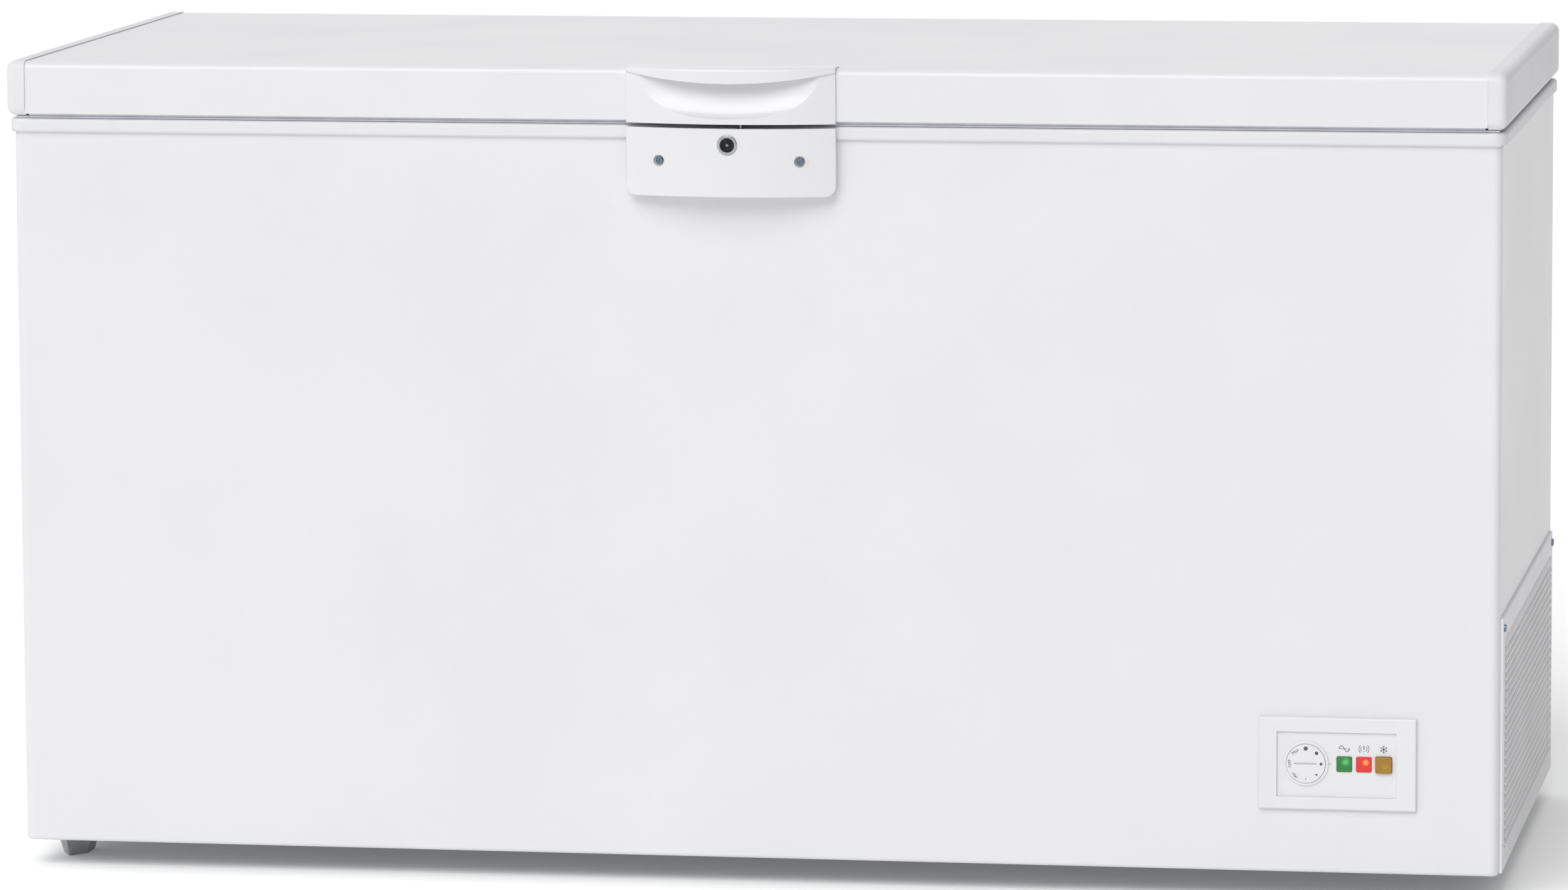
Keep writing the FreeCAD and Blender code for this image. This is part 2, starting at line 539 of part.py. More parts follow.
# ---------------------------------------------------------------- compressor compartment
def side_grille():
    """Moulded cover with a window of sloping louvres, held by two screws at its top corners."""
    inner = BODY_HALF
    outer = BODY_HALF + GRILLE_THICKNESS
    top = BAY_TOP
    plate = box((inner, outer), (GRILLE_FRONT, GRILLE_REAR), (GRILLE_BOTTOM, top))
    front_rim = [e for e in plate.Edges if e.BoundBox.XMin > outer - 0.01]
    plate = plate.makeFillet(1.2, front_rim)
    low = GRILLE_BOTTOM + GRILLE_BORDER
    high = top - GRILLE_BORDER
    window = box((inner - 5, outer + 5), (GRILLE_FRONT + GRILLE_BORDER, GRILLE_REAR - GRILLE_BORDER),
                 (low, high))
    plate = plate.cut(window)
    pitch = (high - low) / LOUVRES
    slats = []
    for i in range(LOUVRES):
        z = low + pitch * i
        section = [
            (inner + 0.2, 0, z + pitch - LOUVRE_DROP),
            (inner + LOUVRE_REACH, 0, z + pitch * 0.28),
            (inner + LOUVRE_REACH, 0, z + pitch * 0.28 - LOUVRE_THICKNESS),
            (inner + 0.2, 0, z + pitch - LOUVRE_DROP - LOUVRE_THICKNESS),
        ]
        slat = prism(section, (0, GRILLE_REAR - GRILLE_FRONT - 2 * GRILLE_BORDER + 4, 0))
        slat.translate(Vec(0, GRILLE_FRONT + GRILLE_BORDER - 2, 0))
        slats.append(slat)
    grille = plate.multiFuse(slats).removeSplitter()
    seats = [(GRILLE_FRONT + 11.0, top - 11.0), (GRILLE_REAR - 11.0, top - 11.0)]
    screws = []
    for y, z in seats:
        grille = grille.cut(rod((inner - 1, y, z), (1, 0, 0), 2.4, 10.0))
        screws.append(cross_head_screw((outer, y, z), (1, 0, 0), 4.0, 2.2, 2.1, 12.0))
    piece("side_grille", grille)
    piece("grille_screws", Part.makeCompound(screws))


COMPRESSOR_X = 632.0
COMPRESSOR_Y = 120.0
COMPRESSOR_LOW = FLOOR_GAP + 14.0


def compressor():
    """Hermetic compressor: lower bowl, weld flange and upper dome, on a plate with four rubber mounts."""
    x, y, low = COMPRESSOR_X, COMPRESSOR_Y, COMPRESSOR_LOW
    profile = [(0, low + 12), (70, low + 12), (86, low + 34), (86, low + 88), (92, low + 88), (92, low + 96),
               (84, low + 96), (84, low + 130), (74, low + 156), (46, low + 172), (0, low + 176)]
    outline = Part.makePolygon([Vec(x + r, y, z) for r, z in profile] + [Vec(x, y, profile[0][1])])
    shell = Part.Face(outline).revolve(Vec(x, y, 0), Vec(0, 0, 1), 360.0)
    feet = box((x - 95, x + 95), (y - 75, y + 75), (low + 10, low + 13))
    holes = [rod((x + sx * 82, y + sy * 62, low), (0, 0, 1), 6.0, 20.0) for sx in (-1, 1) for sy in (-1, 1)]
    stub = rod((x - 60, y, low + 60), (-1, 0, 0), 4.0, 46.0)
    body = shell.multiFuse([feet, stub]).removeSplitter()
    for hole in holes:
        body = body.cut(hole)
    piece("compressor", body)
    mounts = []
    for sx in (-1, 1):
        for sy in (-1, 1):
            px, py = x + sx * 82, y + sy * 62
            base_z = FLOOR_GAP + 2.0
            lower = rod((px, py, base_z), (0, 0, 1), 10.0, low + 10 - base_z)
            neck = rod((px, py, base_z), (0, 0, 1), 5.8, low + 20 - base_z)
            mounts.append(lower.fuse(neck).removeSplitter())
    piece("compressor_mounts", Part.makeCompound(mounts))
    relay = rounded_box((x - 30, x + 30), (y - 128, y - 93), (low + 40, low + 90), 6.0)
    piece("relay_box", relay)
    drier = rod((530.0, 215.0, 180.0), (0, 0, 1), 9.5, 90.0)
    necks = [rod((530.0, 215.0, 165.0), (0, 0, 1), 3.2, 20.0), rod((530.0, 215.0, 268.0), (0, 0, 1), 3.2, 12.0)]
    piece("filter_drier", join([drier] + necks))
    suction = tube([(x - 106, y, low + 60), (x - 122, y, low + 60), (x - 122, y, 250.0),
                    (x - 122, 300.0, 250.0), (x - 122, 300.0, 330.0)], 3.5, 14.0)
    drier_feed = tube([(530.0, 215.0, 164.9), (530.0, 215.0, 130.0), (530.0, 320.0, 130.0),
                       (530.0, 320.0, 330.0)], 2.5, 12.0)
    piece("refrigerant_pipes", Part.makeCompound([suction, drier_feed]))


def cord_gland():
    """Rubber gland in the rear sheet, blind, where the mains lead is clamped."""
    body = rod((660.0, BODY_REAR - 6.0, 80.0), (0, 1, 0), 9.0, 6.0)
    flange = rod((660.0, BODY_REAR, 80.0), (0, 1, 0), 12.0, 9.0)
    rim = [e for e in flange.Edges if e.BoundBox.YMin > BODY_REAR + 8.9 and e.Length > 60]
    flange = flange.makeFillet(3.0, rim)
    recess = rod((660.0, BODY_REAR + 1.0, 80.0), (0, 1, 0), 4.0, 20.0)
    piece("cord_gland", body.fuse(flange).cut(recess).removeSplitter())


# ---------------------------------------------------------------- supports and small cabinet parts
def feet():
    """Wedge-shaped feet with a sharp prow to the front and a round flange under the cabinet."""
    solids = []
    for x, y in FEET:
        top = [(x - 21, y - 8, FLOOR_GAP), (x - 4, y - 34, FLOOR_GAP), (x + 20, y - 12, FLOOR_GAP),
               (x + 20, y + 30, FLOOR_GAP), (x - 21, y + 30, FLOOR_GAP)]
        low = [(x - 12, y - 5, 0), (x - 1, y - 26, 0), (x + 14, y - 8, 0),
               (x + 14, y + 22, 0), (x - 12, y + 22, 0)]
        outlines = [Part.makePolygon([Vec(*p) for p in ring] + [Vec(*ring[0])]) for ring in (low, top)]
        wedge = Part.makeLoft(outlines, True, True)
        flange = rod((x + 12, y + 4, FLOOR_GAP - 13.0), (0, 0, 1), 15.0, 4.5)
        flange = flange.makeFillet(1.5, [e for e in flange.Edges if e.Length > 60])
        solids.append(wedge.fuse(flange).removeSplitter())
    piece("feet", Part.makeCompound(solids))


def rear_spacers():
    """Two bumpers that keep the back away from the wall."""
    bumpers = []
    for x in (-650.0, 650.0):
        block = rounded_box((x - 25, x + 25), (BODY_REAR, TOTAL_DEPTH / 2), (690.0, 730.0), 8.0, axis=1)
        rim = [e for e in block.Edges if e.BoundBox.YMin > TOTAL_DEPTH / 2 - 0.01]
        bumpers.append(block.makeFillet(2.5, rim))
    piece("rear_spacers", Part.makeCompound(bumpers))


def drain():
    """Drain tube through the floor and the plug that closes it from inside."""
    outer = rod((DRAIN_X, DRAIN_Y, FLOOR_GAP - 6.0), (0, 0, 1), 9.0, WALL + 6.0)
    cap = rod((DRAIN_X, DRAIN_Y, FLOOR_GAP - 10.0), (0, 0, 1), 14.0, 10.0)
    bore = rod((DRAIN_X, DRAIN_Y, FLOOR_GAP - 5.0), (0, 0, 1), 7.0, WALL + 10.0)
    piece("drain_tube", outer.fuse(cap).cut(bore).removeSplitter())
    stopper = rod((DRAIN_X, DRAIN_Y, CAVITY_FLOOR - 18.0), (0, 0, 1), 6.6, 19.0)
    head = rod((DRAIN_X, DRAIN_Y, CAVITY_FLOOR + 0.3), (0, 0, 1), 14.0, 4.0)
    head = head.makeFillet(1.2, [e for e in head.Edges if e.Length > 60])
    tab = rounded_box((DRAIN_X - 6, DRAIN_X + 6), (DRAIN_Y - 1.5, DRAIN_Y + 1.5),
                      (CAVITY_FLOOR + 3, CAVITY_FLOOR + 16), 3.0, axis=1)
    piece("drain_plug", join([stopper, head, tab]))


# ---------------------------------------------------------------- hinges
def hinges():
    """Two spring hinges behind the cabinet: leaves, pins, torsion springs and screws."""
    cabinet = []
    lid = []
    pins = []
    springs = []
    cabinet_screws = []
    lid_screws = []
    for x in HINGE_X:
        pad = box((x - 35, x + 35), (BODY_REAR, 350.0), (700.0, 766.0))
        plate = box((x - 35, x + 35), (350.0, 353.0), (700.0, 784.0))
        leaf = pad.fuse(plate)
        for low, high in ((-35.0, -23.0), (23.0, 35.0)):
            ear = rod((x + low, PIVOT_Y, PIVOT_Z), (1, 0, 0), KNUCKLE_RADIUS, high - low)
            web = box((x + low, x + high), (350.0, PIVOT_Y + 2.0), (776.0, PIVOT_Z - 1.0))
            leaf = leaf.fuse(ear).fuse(web)
        leaf = leaf.cut(box((x - 22.6, x + 22.6), (349.0, 370.0), (782.0, 800.0)))
        leaf = leaf.cut(rod((x - 40, PIVOT_Y, PIVOT_Z), (1, 0, 0), PIN_RADIUS, 80.0))
        # the ears stay below and behind the lid's rear edge
        leaf = leaf.cut(box((x - 40, x + 40), (340.0, LID_REAR + 1.0), (786.5, 800.0)))
        cabinet.append(leaf.removeSplitter())
        plate = box((x - 22, x + 22), (LID_REAR, LID_REAR + 2.5), (797.0, 836.0))
        leaf = plate
        for low, high in ((-22.3, -8.3), (8.3, 22.3)):
            ear = rod((x + low, PIVOT_Y, PIVOT_Z), (1, 0, 0), KNUCKLE_RADIUS, high - low)
            web = prism([(x + low, LID_REAR, 797.0), (x + low, LID_REAR + 2.5, 800.0),
                         (x + low, PIVOT_Y + 4.0, 793.0), (x + low, PIVOT_Y - 2.0, 791.5),
                         (x + low, LID_REAR + 0.6, 796.0)], (high - low, 0, 0))
            leaf = leaf.fuse(ear).fuse(web)
        leaf = leaf.cut(rod((x - 40, PIVOT_Y, PIVOT_Z), (1, 0, 0), PIN_RADIUS + RUNNING_GAP, 80.0))
        lid.append(leaf.removeSplitter())
        pin = rod((x - 36.5, PIVOT_Y, PIVOT_Z), (1, 0, 0), PIN_RADIUS, 73.0)
        pins.append(pin)
        springs.append(coil((x - 6.5, PIVOT_Y, PIVOT_Z), (1, 0, 0), 3.7, 0.65, 1.6, 8))
        for dx in (-22.0, 22.0):
            for z in (712.0, 752.0):
                cabinet_screws.append(cross_head_screw((x + dx, 353.0, z), (0, 1, 0), 4.2, 2.4, 2.1, 20.0))
        for dx in (-14.0, 14.0):
            lid_screws.append(cross_head_screw((x + dx, LID_REAR + 2.5, 822.0), (0, 1, 0), 4.2, 2.4, 2.1, 16.0))
    piece("hinge_cabinet_leaves", Part.makeCompound(cabinet))
    piece("hinge_lid_leaves", Part.makeCompound(lid))
    piece("hinge_pins", Part.makeCompound(pins))
    piece("hinge_springs", Part.makeCompound(springs))
    piece("hinge_cabinet_screws", Part.makeCompound(cabinet_screws))
    piece("hinge_lid_screws", Part.makeCompound(lid_screws))


# ---------------------------------------------------------------- lid
SHEET_HALF = TOTAL_WIDTH / 2 - CAP_WIDTH


def lid_block(inset, x, bottom):
    """The lid's section with its rounded upper edges, along X."""
    solid = box(x, (LID_FRONT + inset, LID_REAR - inset), (bottom, LID_TOP - inset))
    upper = [e for e in solid.Edges if runs_along(e, 0) and e.BoundBox.ZMin > LID_TOP - inset - 0.01]
    return solid.makeFillet(LID_EDGE_RADIUS - inset, upper)


def lid_shell():
    """Painted sheet over the lid's top, front and rear, with moulded caps on both ends."""
    span = (-SHEET_HALF, SHEET_HALF)
    outside = lid_block(0.0, span, LID_BOTTOM)
    inside = lid_block(SHEET, span, LID_BOTTOM + SHEET)
    window = box(span, (LID_FRONT + 8, LID_REAR - 8), (LID_BOTTOM - 5, LID_BOTTOM + 5))
    sheet = outside.cut(inside).cut(window)
    for x in HINGE_X:
        for dx in (-14.0, 14.0):
            sheet = sheet.cut(rod((x + dx, LID_REAR - 5, 822.0), (0, 1, 0), 2.4, 10.0))
    piece("lid_sheet", sheet)
    y = (LID_FRONT - CAP_PROUD, LID_REAR + CAP_PROUD)
    z = (LID_BOTTOM - CAP_DROP, LID_TOP + CAP_PROUD)
    end = TOTAL_WIDTH / 2
    block = box((SHEET_HALF, end), y, z)
    rounded = [e for e in block.Edges if e.BoundBox.XMax > SHEET_HALF + 1]
    block = block.makeFillet(CAP_RADIUS, rounded)
    hollow = box((SHEET_HALF - 1, end - CAP_WALL), (y[0] + CAP_WALL, y[1] - CAP_WALL),
                 (z[0] + CAP_WALL, z[1] - CAP_WALL))
    inner_edges = [e for e in hollow.Edges if e.BoundBox.XMax > SHEET_HALF]
    cap = block.cut(hollow.makeFillet(CAP_RADIUS - CAP_WALL, inner_edges))
    piece("lid_end_cap_right", cap)
    piece("lid_end_cap_left", cap.mirror(Vec(0, 0, 0), Vec(1, 0, 0)))


LAMP_X = 0.0
LAMP_Y = 20.0


def lid_inside():
    """Foam, liner with its raised field, gasket and the lamp set into the liner."""
    foam = lid_block(SHEET, (-SHEET_HALF, SHEET_HALF), LID_LINER_TOP)
    well = box((LAMP_X - 62, LAMP_X + 62), (LAMP_Y - 37, LAMP_Y + 37), (LID_LINER_TOP - 5, 816.0))
    foam = foam.cut(well)
    for x in HINGE_X:
        for dx in (-14.0, 14.0):
            foam = foam.cut(rod((x + dx, LID_REAR - 25, 822.0), (0, 1, 0), 2.4, 30.0))
    piece("lid_insulation", foam)
    liner = box((-SHEET_HALF, SHEET_HALF), (LID_FRONT + 9, LID_REAR - 9), (LID_LINER_BOTTOM, LID_LINER_TOP))
    field = rounded_box((-684.0, 684.0), (-246.0, 261.0), (788.8, LID_LINER_BOTTOM + 1), 25.0)
    rim = [e for e in field.Edges if e.BoundBox.ZMax < 788.9]
    field = field.makeFillet(2.5, rim)
    hollow = rounded_box((-681.0, 681.0), (-243.0, 258.0), (791.8, LID_LINER_TOP - 1.5), 22.0)
    lamp_hole = box((LAMP_X - 60, LAMP_X + 60), (LAMP_Y - 35, LAMP_Y + 35), (780.0, 800.0))
    piece("lid_liner", liner.fuse(field).cut(hollow).cut(lamp_hole).removeSplitter())
    outer = rounded_box((-748.0, 748.0), (-325.0, 339.0), (GASKET_BOTTOM, LID_LINER_BOTTOM), 12.0)
    lobe = rounded_box((-755.0, 755.0), (-331.5, 345.5), (GASKET_BOTTOM, GASKET_STEP), 14.0)
    skirt = rounded_box((-769.0, 769.0), (-331.5, 345.5), (GASKET_BOTTOM, LID_BOTTOM - CAP_DROP - 0.2), 14.0)
    inner = rounded_box((-732.0, 732.0), (-309.0, 323.0), (GASKET_BOTTOM - 1, LID_LINER_BOTTOM + 1), 4.0)
    piece("lid_gasket", outer.multiFuse([lobe, skirt]).cut(inner).removeSplitter())
    base_box = rounded_box((LAMP_X - 60, LAMP_X + 60), (LAMP_Y - 35, LAMP_Y + 35), (792.0, 815.0), 6.0)
    base_well = rounded_box((LAMP_X - 57, LAMP_X + 57), (LAMP_Y - 32, LAMP_Y + 32), (780.0, 812.0), 4.0)
    piece("lamp_base", base_box.cut(base_well))
    glass = Part.makeSphere(10.0, Vec(LAMP_X + 8, LAMP_Y, 802.0))
    neck = rod((LAMP_X - 50, LAMP_Y, 802.0), (1, 0, 0), 6.5, 52.0)
    piece("lamp_bulb", glass.fuse(neck).removeSplitter())
    cover = rounded_box((LAMP_X - 60, LAMP_X + 60), (LAMP_Y - 35, LAMP_Y + 35), (784.5, 791.9), 6.0)
    cover = cover.makeFillet(2.0, [e for e in cover.Edges if e.BoundBox.ZMax < 784.6])
    cover = cover.cut(rounded_box((LAMP_X - 57, LAMP_X + 57), (LAMP_Y - 32, LAMP_Y + 32),
                                  (786.5, 795.0), 4.0))
    piece("lamp_cover", cover)


def ellipsoid(half, centre):
    """Ellipsoid with three half-axes."""
    ball = Part.makeSphere(1.0)
    matrix = FreeCAD.Matrix()
    matrix.scale(*half)
    ball = ball.transformGeometry(matrix)
    ball.translate(Vec(*centre))
    return ball


def lip_region(low_offset):
    """Everything above the curved lower edge of the handle's lip."""
    rise = LIP_LOW_END - LIP_LOW_MIDDLE
    radius = (BOW_HALF ** 2 + rise ** 2) / (2.0 * rise)
    return rod((HANDLE_X, -400.0, LIP_LOW_MIDDLE + radius + low_offset), (0, 1, 0), radius, 100.0)


def lid_handle():
    """Bowed handle moulding: overhanging lip above, finger scoop below, hollow behind."""
    lid_space = lid_block(0.0, (-200.0, 200.0), LID_BOTTOM - 20)
    lower = bow_block(0.0, HANDLE_BACK_ON_TOP, (HANDLE_BOTTOM, TOTAL_HEIGHT))
    lip = bow_block(0.0, HANDLE_BACK_ON_TOP, (LIP_LOW_MIDDLE - 5, TOTAL_HEIGHT), LIP_MIDDLE, LIP_END)
    lip = lip.common(lip_region(0.0))
    top_edge = [e for e in lip.Edges if e.BoundBox.ZMin > TOTAL_HEIGHT - 0.01
                and e.BoundBox.YMax < BOW_END + 0.5 and e.BoundBox.XLength > 100]
    lip = lip.makeFillet(4.0, top_edge)
    keep_lip = bow_block(-1.0, HANDLE_BACK_ON_TOP, (LIP_LOW_MIDDLE - 5, TOTAL_HEIGHT + 5), LIP_MIDDLE, LIP_END)
    keep_lip = keep_lip.common(lip_region(0.0))
    centre = (HANDLE_X - 1.0, BOW_MIDDLE, SCOOP_HEIGHT)
    scoop = ellipsoid(SCOOP_HALF, centre)
    lower = lower.cut(keep_lip).cut(scoop)
    inside = bow_block(MOULDING, LID_FRONT + 1, (HANDLE_BOTTOM + MOULDING, LIP_LOW_MIDDLE - MOULDING))
    grown = ellipsoid(tuple(h + MOULDING for h in SCOOP_HALF), centre)
    inside = inside.cut(grown)
    handle = lower.fuse(lip).cut(lid_space).cut(inside)
    slot = box((TONGUE_X[0] - 1.5, TONGUE_X[1] + 1.5), (TONGUE_Y[0] - 2.5, -337.0),
               (HANDLE_BOTTOM - 5, HANDLE_BOTTOM + MOULDING + 1))
    handle = handle.cut(slot).removeSplitter()
    solids = sorted(handle.Solids, key=lambda s: s.Volume)
    piece("lid_handle", solids[-1])


def latch_tongue():
    """Steel tongue that hangs from the lid into the lock panel, with a window for the claw."""
    low = LOCK_Z - CLAW_RADII[1]
    blade = box(TONGUE_X, TONGUE_Y, (low - 2.5, HANDLE_BOTTOM + MOULDING + 0.5))
    neck = box(TONGUE_X, (TONGUE_Y[1] - 3.5, TONGUE_Y[1]), (HANDLE_BOTTOM, 812.0))
    window = box((TONGUE_X[0] - 1, TONGUE_X[1] + 1), (TONGUE_Y[0] + 2.2, TONGUE_Y[1] - 2.5), (low + 1.4, LOCK_Z - 16.0))
    flange = box((TONGUE_X[0], TONGUE_X[0] + 22.0), (TONGUE_Y[1] - 1, TONGUE_Y[1] + 1), (794.5, 812.0))
    piece("latch_tongue", blade.cut(window).multiFuse([neck, flange]).removeSplitter())


# ---------------------------------------------------------------- baskets
def basket(name, x_low):
    """Open-topped basket envelope with hooked rims over the collar's front and rear ledges."""
    x = (x_low, x_low + BASKET_WIDTH)
    y = (CAVITY_FRONT + LEDGE_REACH + 8, CAVITY_REAR - LEDGE_REACH - 8)
    top = LEDGE_TOP + PART_GAP + 3.0
    z = (top - BASKET_HEIGHT, top)
    outside = rounded_box(x, y, z, 18.0)
    inside = rounded_box((x[0] + BASKET_WALL, x[1] - BASKET_WALL), (y[0] + BASKET_WALL, y[1] - BASKET_WALL),
                         (z[0] + BASKET_WALL, top + 5), 15.0)
    hooks = []
    for offset in (40.0, BASKET_WIDTH - 40.0):
        for edge, way in ((y[0], -1.0), (y[1], 1.0)):
            reach = sorted((edge - way * 2.0, edge + way * 16.0))
            hooks.append(box((x_low + offset - 3, x_low + offset + 3), reach,
                             (LEDGE_TOP + PART_GAP, top)))
    piece(name, outside.cut(inside).multiFuse(hooks).removeSplitter())


def main():
    """Build every piece and write it."""
    outer_wrapper()
    rear_panel()
    base()
    insulation()
    inner_liner()
    coils()
    collar_frame()
    lock_panel()
    lock_parts()
    lock_screws()
    control_panel()
    thermostat()
    side_grille()
    compressor()
    cord_gland()
    feet()
    rear_spacers()
    drain()
    hinges()
    lid_shell()
    lid_inside()
    lid_handle()
    latch_tongue()
    basket("basket_left", -CAVITY_HALF + BASKET_SIDE_GAP)
    basket("basket_right", CAVITY_HALF - BASKET_SIDE_GAP - BASKET_WIDTH)
    os.makedirs("parts", exist_ok=True)
    for name, shape in PARTS.items():
        shape.exportStep("parts/" + name + ".step")
        print(name, len(shape.Solids), shape.isValid(), round(shape.Volume / 1e3, 2), "cm3")


main()
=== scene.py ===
"""Chest freezer: finishes, printed marks, wire baskets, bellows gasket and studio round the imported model."""

import json
import logging
import math
from dataclasses import dataclass
from enum import Enum
from typing import Dict, Iterable, List, Optional, Sequence, Tuple

import bpy
from mathutils import Matrix, Vector

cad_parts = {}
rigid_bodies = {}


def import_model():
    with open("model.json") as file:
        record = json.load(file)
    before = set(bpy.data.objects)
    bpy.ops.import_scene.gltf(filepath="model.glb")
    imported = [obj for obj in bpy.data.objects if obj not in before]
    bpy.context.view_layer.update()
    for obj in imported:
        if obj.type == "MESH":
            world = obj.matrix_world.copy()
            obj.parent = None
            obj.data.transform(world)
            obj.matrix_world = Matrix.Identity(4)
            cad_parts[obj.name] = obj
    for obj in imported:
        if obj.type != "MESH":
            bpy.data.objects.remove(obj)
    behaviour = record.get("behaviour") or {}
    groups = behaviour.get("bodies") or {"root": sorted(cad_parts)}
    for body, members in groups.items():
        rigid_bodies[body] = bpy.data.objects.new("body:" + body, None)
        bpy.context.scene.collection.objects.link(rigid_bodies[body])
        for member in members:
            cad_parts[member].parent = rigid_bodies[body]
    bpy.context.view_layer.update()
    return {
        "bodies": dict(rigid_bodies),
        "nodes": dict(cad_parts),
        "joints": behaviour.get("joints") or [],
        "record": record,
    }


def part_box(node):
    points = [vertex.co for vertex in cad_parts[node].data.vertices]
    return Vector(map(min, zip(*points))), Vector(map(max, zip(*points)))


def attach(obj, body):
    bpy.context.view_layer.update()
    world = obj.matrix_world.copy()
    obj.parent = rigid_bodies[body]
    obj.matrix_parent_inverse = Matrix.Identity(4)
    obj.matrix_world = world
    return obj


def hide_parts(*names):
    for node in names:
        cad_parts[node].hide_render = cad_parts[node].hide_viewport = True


log = logging.getLogger("chest_freezer")
MM = 0.001
Colour = Tuple[float, float, float, float]
Point = Tuple[float, float, float]


# ---------------------------------------------------------------- material helpers
def linear(hex_colour: str) -> Colour:
    """Turns an sRGB hex colour into linear values.

    Args:
        hex_colour: six hex digits.

    Returns:
        Linear red, green, blue and an alpha of one.
    """
    parts = [int(hex_colour[i:i + 2], 16) / 255 for i in (0, 2, 4)]
    values = [p / 12.92 if p <= 0.04045 else ((p + 0.055) / 1.055) ** 2.4 for p in parts]
    return (values[0], values[1], values[2], 1.0)


def add_node(tree: bpy.types.NodeTree, kind: str, settings: Optional[Dict[str, object]] = None,
             links: Optional[Dict[str, Tuple[bpy.types.Node, str]]] = None) -> bpy.types.Node:
    """Adds a node, sets its properties and sockets, and links its inputs.

    Args:
        tree: node tree that gets the node.
        kind: the node's type name.
        settings: property or input socket name to value.
        links: input socket to (source node, its output socket); a socket is named, or numbered in digits.

    Returns:
        The new node.
    """
    node = tree.nodes.new(kind)
    for key, value in (settings or {}).items():
        if hasattr(node, key):
            setattr(node, key, value)
        else:
            node.inputs[key].default_value = value
    for key, (source, output) in (links or {}).items():
        socket = node.inputs[int(key)] if key.isdigit() else node.inputs[key]
        tree.links.new(source.outputs[int(output) if output.isdigit() else output], socket)
    return node


def new_material(name: str) -> Tuple[bpy.types.Material, bpy.types.NodeTree, bpy.types.Node]:
    """Makes an empty node material.

    Args:
        name: the material's name.

    Returns:
        The material, its node tree and its output node.
    """
    material = bpy.data.materials.new(name)
    material.use_nodes = True
    material.node_tree.nodes.clear()
    return material, material.node_tree, material.node_tree.nodes.new("ShaderNodeOutputMaterial")


class Texture(Enum):
    """Surface texture left by how a finish was made."""

    ORANGE_PEEL = "orange_peel"
    MOULDED = "moulded"
    BRUSHED = "brushed"
    SPANGLE = "spangle"
    STUCCO = "stucco"
    CELLS = "cells"


@dataclass(frozen=True)
class Finish:
    """One finish of the freezer, with its texture at real scale."""

    name: str
    colour: str
    shade: str                      # the darker or worn variation of the colour
    roughness: float
    texture: Texture
    grain_mm: float                 # size of one bump, cell or spangle
    relief_mm: float                # height of the relief
    metallic: float = 0.0
    ior: float = 1.5
    coat: float = 0.0
    edge_mm: float = 0.0            # rounding that the eye sees at moulded and folded edges
    cloud_mm: float = 180.0         # size of the slow variation in tone

    def height(self, tree: bpy.types.NodeTree, place: bpy.types.Node) -> Tuple[bpy.types.Node, str]:
        """Adds the texture's height pattern.

        Args:
            tree: the material's node tree.
            place: texture coordinate node.

        Returns:
            The node and output that carry the height.
        """
        scale = 1 / (self.grain_mm * MM)
        if self.texture in (Texture.SPANGLE, Texture.STUCCO, Texture.CELLS):
            feature = "F1" if self.texture is Texture.SPANGLE else "SMOOTH_F1"
            node = add_node(tree, "ShaderNodeTexVoronoi", {"feature": feature, "Scale": scale},
                            {"Vector": (place, "Object")})
            return node, "Distance"
        if self.texture is Texture.BRUSHED:
            squeeze = add_node(tree, "ShaderNodeMapping", {"Scale": (0.03, 1.0, 1.0)},
                               {"Vector": (place, "Object")})
            node = add_node(tree, "ShaderNodeTexNoise", {"Scale": scale, "Detail": 3.0},
                            {"Vector": (squeeze, "Vector")})
            return node, "Fac"
        detail = 1.0 if self.texture is Texture.ORANGE_PEEL else 4.0
        node = add_node(tree, "ShaderNodeTexNoise", {"Scale": scale, "Detail": detail},
                        {"Vector": (place, "Object")})
        return node, "Fac"

    def material(self) -> bpy.types.Material:
        """Builds the finish's material.

        Returns:
            The material.
        """
        found = bpy.data.materials.get(self.name)
        if found:
            return found
        material, tree, output = new_material(self.name)
        place = add_node(tree, "ShaderNodeTexCoord")
        relief = self.height(tree, place)
        cloud = add_node(tree, "ShaderNodeTexNoise", {"Scale": 1 / (self.cloud_mm * MM), "Detail": 5.0},
                         {"Vector": (place, "Object")})
        tone: Tuple[bpy.types.Node, str] = (cloud, "Fac")
        if self.texture is Texture.SPANGLE:
            each = add_node(tree, "ShaderNodeTexWhiteNoise", {"noise_dimensions": "3D"},
                            {"Vector": (relief[0], "Position")})
            tone = (each, "Value")
        spread = add_node(tree, "ShaderNodeMapRange", {"From Min": 0.3, "From Max": 0.7}, {"Value": tone})
        colour = add_node(tree, "ShaderNodeMix", {"data_type": "RGBA"}, {"Factor": (spread, "Result")})
        colour.inputs[6].default_value = linear(self.colour)
        colour.inputs[7].default_value = linear(self.shade)
        rough = add_node(tree, "ShaderNodeMapRange",
                         {"To Min": self.roughness * 0.88, "To Max": min(1.0, self.roughness * 1.14)},
                         {"Value": (cloud, "Fac")})
        bump = add_node(tree, "ShaderNodeBump", {"Strength": 1.0, "Distance": self.relief_mm * MM},
                        {"Height": relief})
        if self.edge_mm:
            edge = add_node(tree, "ShaderNodeBevel", {"samples": 4, "Radius": self.edge_mm * MM})
            tree.links.new(edge.outputs["Normal"], bump.inputs["Normal"])
        shader = add_node(tree, "ShaderNodeBsdfPrincipled",
                          {"Metallic": self.metallic, "Coat Weight": self.coat, "Coat Roughness": 0.08},
                          {"Base Color": (colour, "2"), "Roughness": (rough, "Result"),
                           "Normal": (bump, "Normal")})
        if not self.metallic:
            shader.inputs["IOR"].default_value = self.ior
        tree.links.new(shader.outputs["BSDF"], output.inputs["Surface"])
        return material


